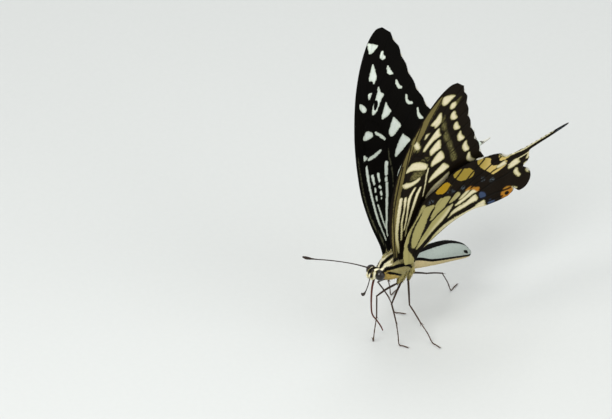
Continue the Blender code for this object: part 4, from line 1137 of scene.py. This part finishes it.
def leg_routes(name):
    """The routes of a leg's pieces, hip to claws, with radii that swell and pinch at each joint."""
    hip, knee, ankle, touch, tip = LEGS[name]
    hip, knee, ankle = Vector(hip), Vector(knee), Vector(ankle)
    rise = Vector((math.sin(BODY_PITCH), 0, math.cos(BODY_PITCH)))
    side = math.copysign(1, hip.y)
    root = hip + Vector((-COXA_LEAN.x, COXA_LEAN.y * side, COXA_LENGTH))
    routes = [routed((root, root.lerp(hip, 0.5), hip), (0.62, 0.5, 0.3), 0.3)]
    for start, end, sag, radii in ((hip, knee, rise * 0.25, (0.15, 0.24, 0.23, 0.2, 0.17)),
                                   (knee, ankle, rise * 0.1, (0.13, 0.17, 0.165, 0.16, 0.15))):
        points = (start, start.lerp(end, 0.18) + sag * 0.5, start.lerp(end, 0.5) + sag,
                  start.lerp(end, 0.8) + sag * 0.6, end)
        routes.append(routed(points, radii, 0.35))
    touch, tip = (above_floor(*place, TARSUS_RADIUS - 0.02) for place in (touch, tip))
    bend = ankle.lerp(touch, 0.62) + rise * 0.35
    foot = routed((ankle, bend, touch, touch.lerp(tip, 0.5), tip), (0.12,) * 5, 0.12)
    runs = np.linspace(0, len(foot) - 1, TARSOMERES + 1).round().astype(int)
    for a, b in zip(runs, runs[1:]):
        part = foot[a:b + 1].copy()
        part[:, 3] = np.interp(np.linspace(0, 1, len(part)), (0, 0.15, 0.85, 1), (0.1, 0.115, 0.14, 0.12))
        routes.append(part)
    for turn in (1, -1):
        aim = (tip - touch).normalized()
        out = aim.cross(rise).normalized() * turn
        hook = (tip, tip + aim * 0.22 + out * 0.12 + rise * 0.06, tip + aim * 0.42 + out * 0.2 - rise * 0.04)
        routes.append(routed(hook, (0.06, 0.045, 0.015), 0.08))
    for turn in (1, -1):
        aim = (ankle - knee).normalized()
        out = aim.cross(rise).normalized() * turn
        spur = (ankle, ankle + aim * 0.35 + out * 0.28, ankle + aim * 0.75 + out * 0.42)
        routes.append(routed(spur, (0.06, 0.05, 0.02), 0.2))
    return routes


# Settings that a user would change

def colour_prop(name, description, code):
    """A colour setting."""
    return bpy.props.FloatVectorProperty(name=name, description=description, subtype="COLOR", size=3, min=0,
                                         max=1, default=linear(code))


def length_prop(name, description, millimetres):
    """A length setting."""
    return bpy.props.FloatProperty(name=name, description=description + ", in mm", default=millimetres, min=0,
                                   precision=3)


class SwallowtailSizes(bpy.types.PropertyGroup):
    """Sizes of the butterfly's finer parts, in millimetres."""
    membrane_half: length_prop("Membrane", "Half the thickness of a wing's membrane with its scales", 0.09)
    vein_height: length_prop("Vein height", "How far a vein stands out of each face of a wing", 0.1)
    vein_half_width: length_prop("Vein width", "Half the width of a vein's ridge", 0.3)
    hair_length: length_prop("Hair", "Length of the longest hair on the thorax", HAIR_LENGTH)
    hair_width: length_prop("Hair width", "Half the width of one lock of hair", 0.045)
    fringe_length: length_prop("Fringe", "Length of the fringe on the wings' outer edges", 0.45)
    hair_count: bpy.props.IntProperty(name="Locks of hair", description="How many locks cover the body",
                                      default=9000, min=100)


class SwallowtailColours(bpy.types.PropertyGroup):
    """Colours of the butterfly's scales, hair and cuticle."""
    under_ground: colour_prop("Underside ground", "Dark scales of the wings' undersides", "#140e07")
    under_light: colour_prop("Underside ground, worn", "The same where fewer scales are left", "#1c140a")
    upper_ground: colour_prop("Upperside ground", "Black scales of the wings' uppersides", "#070605")
    upper_light: colour_prop("Upperside ground, worn", "The same where fewer scales are left", "#0e0c09")
    # The undersides' spot colour: partly the scales' own cream, partly painted light shining through the
    # wing, which yellows it.
    under_cream: colour_prop("Underside spots", "Pale scales of the undersides", "#f2e7c4")
    upper_cream: colour_prop("Upperside spots", "Pale scales of the uppersides, cooler", "#eef6ec")
    olive: colour_prop("Olive dust", "Yellow scales strewn among dark ones", "#857e4d")
    costa: colour_prop("Front edge", "Grey-olive scales along the forewing's front edge", "#7a6e40")
    khaki: colour_prop("Khaki", "Khaki scales of the hindwing's front cells and the wings' roots", "#aaa168")
    ochre: colour_prop("Ochre", "Olive-ochre scales of the hindwing's border", "#a38c38")
    yolk: colour_prop("Yolk", "Yolk-yellow scales of the border's first cell", "#b08a1e")
    orange: colour_prop("Orange", "Scales of the eyespot at the inner corner", "#c4650d")
    blue: colour_prop("Blue", "Blue scales of the hindwing's border", "#46587a")
    vein: colour_prop("Vein", "Scales on the veins", "#120e08")
    fringe: colour_prop("Fringe", "White hair-scales in the bays of the outer edges", "#e4e2d6")
    body_black: colour_prop("Body bands", "Black scales of the body's bands", "#0a0806")
    body_khaki: colour_prop("Thorax", "Khaki hair of the thorax's sides", "#9b8f56")
    body_cream: colour_prop("Thorax stripes", "Cream hair of the stripes on the back", "#f0eacb")
    abdomen: colour_prop("Abdomen", "Blue-grey scales of the abdomen's sides", "#949d98")
    belly: colour_prop("Belly", "Tan scales under the abdomen", "#c2b184")
    eye: colour_prop("Eye", "Pigment seen through the cornea", "#16120f")
    cuticle: colour_prop("Cuticle", "Bare cuticle of legs and feelers", "#130b06")
    tongue: colour_prop("Proboscis", "Cuticle of the proboscis", "#3a1710")
    floor: colour_prop("Floor", "Studio paper", "#d0d2cf")


def colours():
    """The colour settings as plain colours, by name."""
    return {key: tuple(getattr(bpy.context.scene.swallowtail_colours, key))
            for key in SwallowtailColours.__annotations__}


def under_material():
    """Scales of the wings' undersides; their spots' cream is partly their own colour and partly painted light
    shining through the wing.
    """
    c = colours()
    name = "underside wing scales"
    return bpy.data.materials.get(name) or wing_scales(name, {
        "ground": c["under_ground"], "ground_light": c["under_light"], "olive": c["olive"], "dim": c["costa"],
        "grey": linear("#6d7c86"), "blue": c["blue"], "ochre": c["ochre"], "ochre_light": linear("#d9bf72"),
        "yolk": c["yolk"], "cream_edge": linear("#cfc695"), "cream": c["under_cream"],
        "root_cream": c["khaki"], "speck": linear("#b3a566"), "orange": c["orange"], "vein": c["vein"],
        "fringe": c["fringe"]}, False)


def upper_material():
    """Scales of the wings' uppersides."""
    c = colours()
    name = "upperside wing scales"
    return bpy.data.materials.get(name) or wing_scales(name, {
        "ground": c["upper_ground"], "ground_light": c["upper_light"], "olive": linear("#5d6a3c"),
        "dim": linear("#8a8a6a"), "grey": linear("#33435c"), "blue": c["blue"], "ochre": linear("#c9cf9a"),
        "ochre_light": c["upper_cream"], "yolk": linear("#c9cf9a"), "cream_edge": linear("#d3dccb"),
        "cream": c["upper_cream"], "root_cream": linear("#dae2d0"), "speck": linear("#c2ccb8"),
        "orange": c["orange"], "vein": linear("#080705"), "fringe": c["fringe"]}, True)


def body_material(name, bristle):
    """Scales of the body, or hair of the same colours."""
    c = colours()
    # The tip colour is a painted highlight on the tips of standing hair.
    return bpy.data.materials.get(name) or body_scales(name, {
        "khaki": c["body_khaki"], "khaki_light": linear("#b6aa6e"), "mint_grey": c["abdomen"],
        "mint_light": linear("#b2bcb2"), "tan": c["belly"], "yellow": linear("#c4a64e"),
        "cream": c["body_cream"], "black": c["body_black"], "tip": linear("#e9e4c4")}, bristle)


def hair_material():
    """Hair that stands on the body."""
    return body_material("body hair", True)


def skin_material():
    """Scales that lie on the body."""
    return body_material("body scales", False)


def fringe_material():
    """Hair-scales of the wings' edges: white in the bays, black at the vein ends, soft and matt."""
    found = bpy.data.materials.get("fringe scales")
    if found:
        return found
    c = colours()
    made, tree, shader, place = shader_of("fringe scales")
    white = channels(tree, "white")[0]
    pale = blend(tree, noise(tree, place, 2200.0, 2.0), linear("#c9c4ae"), c["fringe"])
    colour = blend(tree, step_at(tree, white, 0.3, 0.7), c["under_ground"], pale)
    tree.links.new(colour, shader.inputs["Base Color"])
    shader.inputs["Roughness"].default_value = 0.8
    shader.inputs["Specular IOR Level"].default_value = 0.2
    return made


class StepOperator(bpy.types.Operator):
    """What the steps of the build share."""
    bl_options = {"REGISTER", "UNDO"}


class SWALLOWTAIL_OT_stage(StepOperator):
    """Sets the camera, the paper floor and backdrop, and the studio lights"""
    bl_idname = "swallowtail.stage"
    bl_label = "Stage"

    def execute(self, context):
        scene = context.scene
        turn = BODY.to_3x3() * 1000
        right, up, back = (turn @ Vector(axis) for axis in VIEW_AXES)
        origin = BODY.to_translation()
        target = origin - right * FRAME_LEFT + up * FRAME_ABOVE
        lens = bpy.data.cameras.new("camera")
        lens.sensor_width = SENSOR_WIDTH
        lens.lens = SENSOR_WIDTH * VIEW_DISTANCE / FRAME_WIDTH
        lens.clip_start = 0.05
        camera = bpy.data.objects.new("camera", lens)
        camera.location = target + back * VIEW_DISTANCE
        camera.rotation_euler = back.to_track_quat("Z", "Y").to_euler()
        scene.collection.objects.link(camera)
        scene.camera = camera
        self.paper(scene)
        for name, azimuth, elevation, size, power in LIGHTS:
            light = bpy.data.lights.new(name, "AREA")
            light.shape = "DISK"
            light.size = size
            light.energy = power
            lamp = bpy.data.objects.new(name, light)
            level = math.cos(elevation)
            away = Vector((math.sin(azimuth) * level, -math.cos(azimuth) * level, math.sin(elevation)))
            lamp.location = LIGHT_AIM + away * LIGHT_DISTANCE
            lamp.rotation_euler = away.to_track_quat("Z", "Y").to_euler()
            scene.collection.objects.link(lamp)
        world = bpy.data.worlds.new("studio") if scene.world is None else scene.world
        scene.world = world
        world.use_nodes = True
        backdrop = world.node_tree.nodes["Background"]
        backdrop.inputs["Color"].default_value = (*linear("#e6e9ec"), 1)
        backdrop.inputs["Strength"].default_value = SKY_STRENGTH
        scene.view_settings.view_transform = "Standard"
        scene.view_settings.look = "None"
        return {"FINISHED"}

    def paper(self, scene):
        """A sheet of paper on the floor, wide enough to fill every view."""
        work = bmesh.new()
        bmesh.ops.create_circle(work, cap_ends=True, segments=96, radius=FLOOR_RADIUS)
        bmesh.ops.translate(work, vec=(0, 0, FLOOR_LEVEL), verts=work.verts)
        mesh = bpy.data.meshes.new("floor")
        work.to_mesh(mesh)
        work.free()
        mesh.materials.append(stage_paper("matt studio paper", colours()["floor"]))
        floor = bpy.data.objects.new("floor", mesh)
        scene.collection.objects.link(floor)


class SWALLOWTAIL_OT_forewings(StepOperator):
    """Models both forewings"""
    bl_idname = "swallowtail.forewings"
    bl_label = "Forewings"

    def execute(self, context):
        faces = ({**FORE_UNDER, "root_reach": 18.0}, {**FORE_UPPER, "root_reach": 14.0, "bays": ()})
        for name, side in (("forewing_left", 1), ("forewing_right", -1)):
            wing(name, side, False, fore_outline(), FORE_VEINS, FORE_BAYS, faces)
        return {"FINISHED"}


class SWALLOWTAIL_OT_hindwings(StepOperator):
    """Models both hindwings, the left one with its tail and the right one worn, its tail broken off"""
    bl_idname = "swallowtail.hindwings"
    bl_label = "Hindwings"

    def execute(self, context):
        for name, side in (("hindwing_left", 1), ("hindwing_right", -1)):
            pale = HIND_UNDER["pale"] + (() if side > 0 else WORN_PALE)
            lines = TAIL_LINES if side > 0 else ()
            under = {**HIND_UNDER, "pale": pale, "lines": lines, "root_reach": 9.0, "front_tone": 1.0}
            upper = {**HIND_UNDER, "pale": pale, "lines": lines, "root_reach": 6.0, "front_tone": 0.3}
            bays = HIND_BAYS if side > 0 else WORN_BAYS
            wing(name, side, True, hind_outline(side), HIND_VEINS, bays, (under, upper))
        return {"FINISHED"}


class SWALLOWTAIL_OT_fringes(StepOperator):
    """Sets the fringe of hair-scales on the outer edges of the wings"""
    bl_idname = "swallowtail.fringes"
    bl_label = "Fringes"

    def execute(self, context):
        sizes = context.scene.swallowtail_sizes
        rng = np.random.default_rng(SEED)
        pairs = ((hind, side) for hind in (False, True) for side in (1, -1))
        for hind, side in pairs:
            name = "left" if side > 0 else "right"
            if hind:
                lobes = HIND_LOBES if side > 0 else WORN_EDGE[3:5]
                runs = (smooth_path(HIND_COSTA, 0.1)[-190:], smooth_path(lobes, 0.1))
                bays = HIND_BAYS if side > 0 else WORN_BAYS
            else:
                runs = (smooth_path(scalloped(FORE_MARGIN), 0.1),)
                bays = FORE_BAYS
            roots, aims = [], []
            for run in runs:
                along = np.gradient(run, axis=0)
                along /= np.linalg.norm(along, axis=1, keepdims=True)
                out = np.stack((-along[:, 1], along[:, 0]), axis=1)
                middle = np.array((14.0, 12.0) if hind else (0.0, 20.0))
                turned = np.sign(((run - middle) * out).sum(axis=1, keepdims=True))
                roots.append(run - out * turned * 0.1)
                aims.append(out * turned)
            roots, aims = np.vstack(roots), np.vstack(aims)
            count = len(roots)
            aims = aims + rng.normal(0, 0.12, (count, 2))
            white = np.zeros(count)
            for x, y, reach in bays:
                away = np.linalg.norm(roots - (x, y), axis=1)
                white = np.maximum(white, np.clip((reach + 0.25 - away) / 0.3, 0, 1))
            lengths = sizes.fringe_length * rng.uniform(0.75, 1.05, count) * (0.65 + 0.35 * white)
            flat = np.column_stack((roots, np.zeros(count)))
            tips = np.column_stack((roots + aims * 0.3, np.zeros(count)))
            base = set_wing(flat, side, hind)
            lies = set_wing(tips, side, hind) - base
            normals = set_wing(flat + (0, 0, 0.3), side, hind) - base
            marks = {"white": np.column_stack((white, white, white))}
            label = "hindwing" if hind else "forewing"
            strew(f"{label}_{name}_fringe", base, normals, lies, lengths, np.full(count, 0.075),
                  [fringe_material()], marks, flat=0.5)
        return {"FINISHED"}


class SWALLOWTAIL_OT_trunk(StepOperator):
    """Models head, thorax and abdomen as one skin"""
    bl_idname = "swallowtail.trunk"
    bl_label = "Trunk"

    def execute(self, context):
        piece = finish_piece("trunk", trunk_mesh(), [skin_material()],
                             ("head", "thorax", "abdomen"))
        keep_marks(piece.data, trunk_marks(vertex_places(piece.data)))
        return {"FINISHED"}


class SWALLOWTAIL_OT_hair(StepOperator):
    """Covers the trunk and the wing bases with locks of hair-like scales"""
    bl_idname = "swallowtail.hair"
    bl_label = "Hair"

    def execute(self, context):
        sizes = context.scene.swallowtail_sizes
        rng = np.random.default_rng(SEED)
        skin = bpy.data.objects["trunk"].data

        def density(places):
            """How thick the hair stands: none on the eyes, little on the abdomen."""
            x = places[:, 0]
            from_eye = np.linalg.norm((places - (EYE_CENTRE.x, 0, EYE_CENTRE.z)) * (1, 0, 1), axis=1)
            clear = (from_eye > 1.35) | (np.abs(places[:, 1]) < 0.5)
            return np.where(x > NECK, 1.6, np.where(x > WAIST, 1.5, 0.5)) * clear

        roots, normals = coat_roots(skin, rng, sizes.hair_count, density)
        x = roots[:, 0]
        length = np.where(x > NECK, 0.28, np.where(x > WAIST, 0.6, 0.3)) * sizes.hair_length / HAIR_LENGTH
        length = length * np.where(x > 5.6, 0.7, 1.0) * rng.uniform(0.7, 1.15, len(x))
        back = np.array((-1.0, 0.0, -0.12))
        lies = back - normals * (normals @ back)[:, None]
        lies /= np.maximum(np.linalg.norm(lies, axis=1, keepdims=True), 1e-6)
        lift = np.where(x > NECK, 0.5, np.where(x > WAIST, 0.4, 0.12)) * rng.uniform(0.6, 1.3, len(x))
        lies = lies * np.cos(lift)[:, None] + normals * np.sin(lift)[:, None]
        lies = lies + rng.normal(0, 0.12, roots.shape)
        widths = np.full(len(x), sizes.hair_width) * rng.uniform(0.8, 1.2, len(x))
        strew("body_hair", roots - normals * 0.03, normals, lies, length, widths, [hair_material()],
              trunk_marks(roots))
        roots, normals, lies = wing_root_hair(rng)
        count = len(roots)
        strew("wing_base_hair", roots, normals, lies, rng.uniform(0.8, 1.7, count), np.full(count, 0.05),
              [hair_material()], even_marks(count, 0.0, 0.0, 0.2))
        return {"FINISHED"}


class SWALLOWTAIL_OT_eyes(StepOperator):
    """Models the compound eyes"""
    bl_idname = "swallowtail.eyes"
    bl_label = "Eyes"

    def execute(self, context):
        c = colours()
        glass = cornea({"eye": c["eye"], "eye_light": linear("#2a211b"), "black": linear("#080706")})
        for name, side in (("eye_left", 1), ("eye_right", -1)):
            work = bmesh.new()
            centre = (EYE_CENTRE.x, side * EYE_CENTRE.y, EYE_CENTRE.z)
            bead(work, centre, (EYE_RADIUS, EYE_RADIUS * 0.95, EYE_RADIUS * 1.04), subdivisions=5)
            finish_piece(name, work, [glass], (name,))
        return {"FINISHED"}


class SWALLOWTAIL_OT_feelers(StepOperator):
    """Models the antennae with their clubs, the palps and the proboscis"""
    bl_idname = "swallowtail.feelers"
    bl_label = "Antennae, palps and proboscis"

    def execute(self, context):
        c = colours()
        rng = np.random.default_rng(SEED + 1)
        horn = chitin("ringed antenna cuticle", c["cuticle"], linear("#3a281a"), 0.42)
        for name, points in ANTENNAE.items():
            route = routed(points, ANTENNA_RADII, 0.09)
            route[:, 3] *= np.where(np.arange(len(route)) % ANTENNA_RING == 0, 0.88, 1.0)
            work = bmesh.new()
            sweep(work, capped(route), 12)
            bead(work, tuple(route[0, :3]), (0.3, 0.3, 0.26))
            piece = finish_piece(f"antenna_{name}", work, [horn], (f"antenna_{name}",))
            paint_thin(piece, np.clip(0.15 + 0.2 * np.sin(vertex_places(piece.data)[:, 0] * 12.0), 0, 1))
        tongue = chitin("proboscis cuticle", c["tongue"], linear("#6a3422"), 0.36)
        work = bmesh.new()
        route = routed(PROBOSCIS, PROBOSCIS_RADII, 0.12)
        route[:, 3] *= np.where(np.arange(len(route)) % PROBOSCIS_RING == 0, 0.93, 1.0)
        sweep(work, capped(route), 16)
        piece = finish_piece("proboscis", work, [tongue], ("proboscis",))
        paint_thin(piece, np.clip((-4 - vertex_places(piece.data)[:, 2]) / 20, 0, 1))
        for name, side in (("palp_left", 1), ("palp_right", -1)):
            work = bmesh.new()
            route = routed([(x, y * side, z) for x, y, z in PALP], PALP_RADII, 0.12)
            sweep(work, capped(route), 16)
            palp = finish_piece(name, work, [skin_material()])
            keep_marks(palp.data, even_marks(len(palp.data.vertices), 0.0, 0.75, 0.3))
            count = PALP_LOCKS
            roots, normals = coat_roots(palp.data, rng, count, evenly)
            lies = normals * 0.25 + np.array((0.1, 0, 0.8)) + rng.normal(0, 0.1, roots.shape)
            strew(f"{name}_hair", roots, normals, lies, rng.uniform(0.15, 0.3, count), np.full(count, 0.03),
                  [hair_material()], even_marks(count, 0.0, 0.75, 0.3))
        return {"FINISHED"}


class SWALLOWTAIL_OT_legs(StepOperator):
    """Models the six legs with their spurs and claws"""
    bl_idname = "swallowtail.legs"
    bl_label = "Legs"

    def execute(self, context):
        c = colours()
        shell = chitin("leg cuticle", c["cuticle"], linear("#4a2f18"), 0.45)
        hips = bmesh.new()
        for name in LEGS:
            work = bmesh.new()
            hip, *routes = leg_routes(name)
            sweep(hips, capped(hip), 12)
            for i, route in enumerate(routes):
                sweep(work, capped(route), 12 if i < 2 else 8)
            for joint, radius in zip(LEGS[name], (0.3, 0.19, 0.19)):
                bead(work, joint, (radius,) * 3)
            piece = finish_piece(f"leg_{name}", work, [shell],
                                 [f"leg_{name}_{part}" for part in ("femur", "tibia", "tarsus")])
            paint_thin(piece, np.clip((-7.5 - vertex_places(piece.data)[:, 2]) / 10, 0, 1))
        coxae = finish_piece("coxae", hips, [skin_material()])
        keep_marks(coxae.data, even_marks(len(coxae.data.vertices), 0.0, 0.0, 0.2))
        rng = np.random.default_rng(SEED + 2)
        count = COXA_LOCKS
        roots, normals = coat_roots(coxae.data, rng, count, evenly)
        lies = normals * 0.3 + np.array((-0.2, 0, -0.8)) + rng.normal(0, 0.12, roots.shape)
        marks = even_marks(count, 0.0, 0.0, 0.2)
        marks["marks"][:, 0] = rng.random(count) < np.clip(normals[:, 0] * 1.2 + 0.1, 0, 1)
        strew("coxa_hair", roots, normals, lies, rng.uniform(0.3, 0.5, count), np.full(count, 0.04),
              [hair_material()], marks)
        return {"FINISHED"}


class SWALLOWTAIL_PT_panel(bpy.types.Panel):
    """Lists the steps that build the butterfly"""
    bl_idname = "SWALLOWTAIL_PT_panel"
    bl_label = "Asian swallowtail"
    bl_space_type = "VIEW_3D"
    bl_region_type = "UI"
    bl_category = "Swallowtail"

    def draw(self, context):
        for step in STEPS:
            self.layout.operator(step.bl_idname)
        for group in (context.scene.swallowtail_sizes, context.scene.swallowtail_colours):
            box = self.layout.box()
            for key in type(group).__annotations__:
                box.prop(group, key)


STEPS = (SWALLOWTAIL_OT_stage, SWALLOWTAIL_OT_forewings, SWALLOWTAIL_OT_hindwings, SWALLOWTAIL_OT_fringes,
         SWALLOWTAIL_OT_trunk, SWALLOWTAIL_OT_eyes, SWALLOWTAIL_OT_feelers, SWALLOWTAIL_OT_hair,
         SWALLOWTAIL_OT_legs)
CLASSES = (SwallowtailSizes, SwallowtailColours, *STEPS, SWALLOWTAIL_PT_panel)


def register():
    for item in CLASSES:
        bpy.utils.register_class(item)
    bpy.types.Scene.swallowtail_sizes = bpy.props.PointerProperty(type=SwallowtailSizes)
    bpy.types.Scene.swallowtail_colours = bpy.props.PointerProperty(type=SwallowtailColours)


def unregister():
    del bpy.types.Scene.swallowtail_colours
    del bpy.types.Scene.swallowtail_sizes
    for item in reversed(CLASSES):
        bpy.utils.unregister_class(item)


def main():
    register()
    bpy.ops.swallowtail.stage()
    bpy.ops.swallowtail.forewings()
    bpy.ops.swallowtail.hindwings()
    bpy.ops.swallowtail.fringes()
    bpy.ops.swallowtail.trunk()
    bpy.ops.swallowtail.eyes()
    bpy.ops.swallowtail.feelers()
    bpy.ops.swallowtail.hair()
    bpy.ops.swallowtail.legs()


if __name__ == "__main__":
    main()
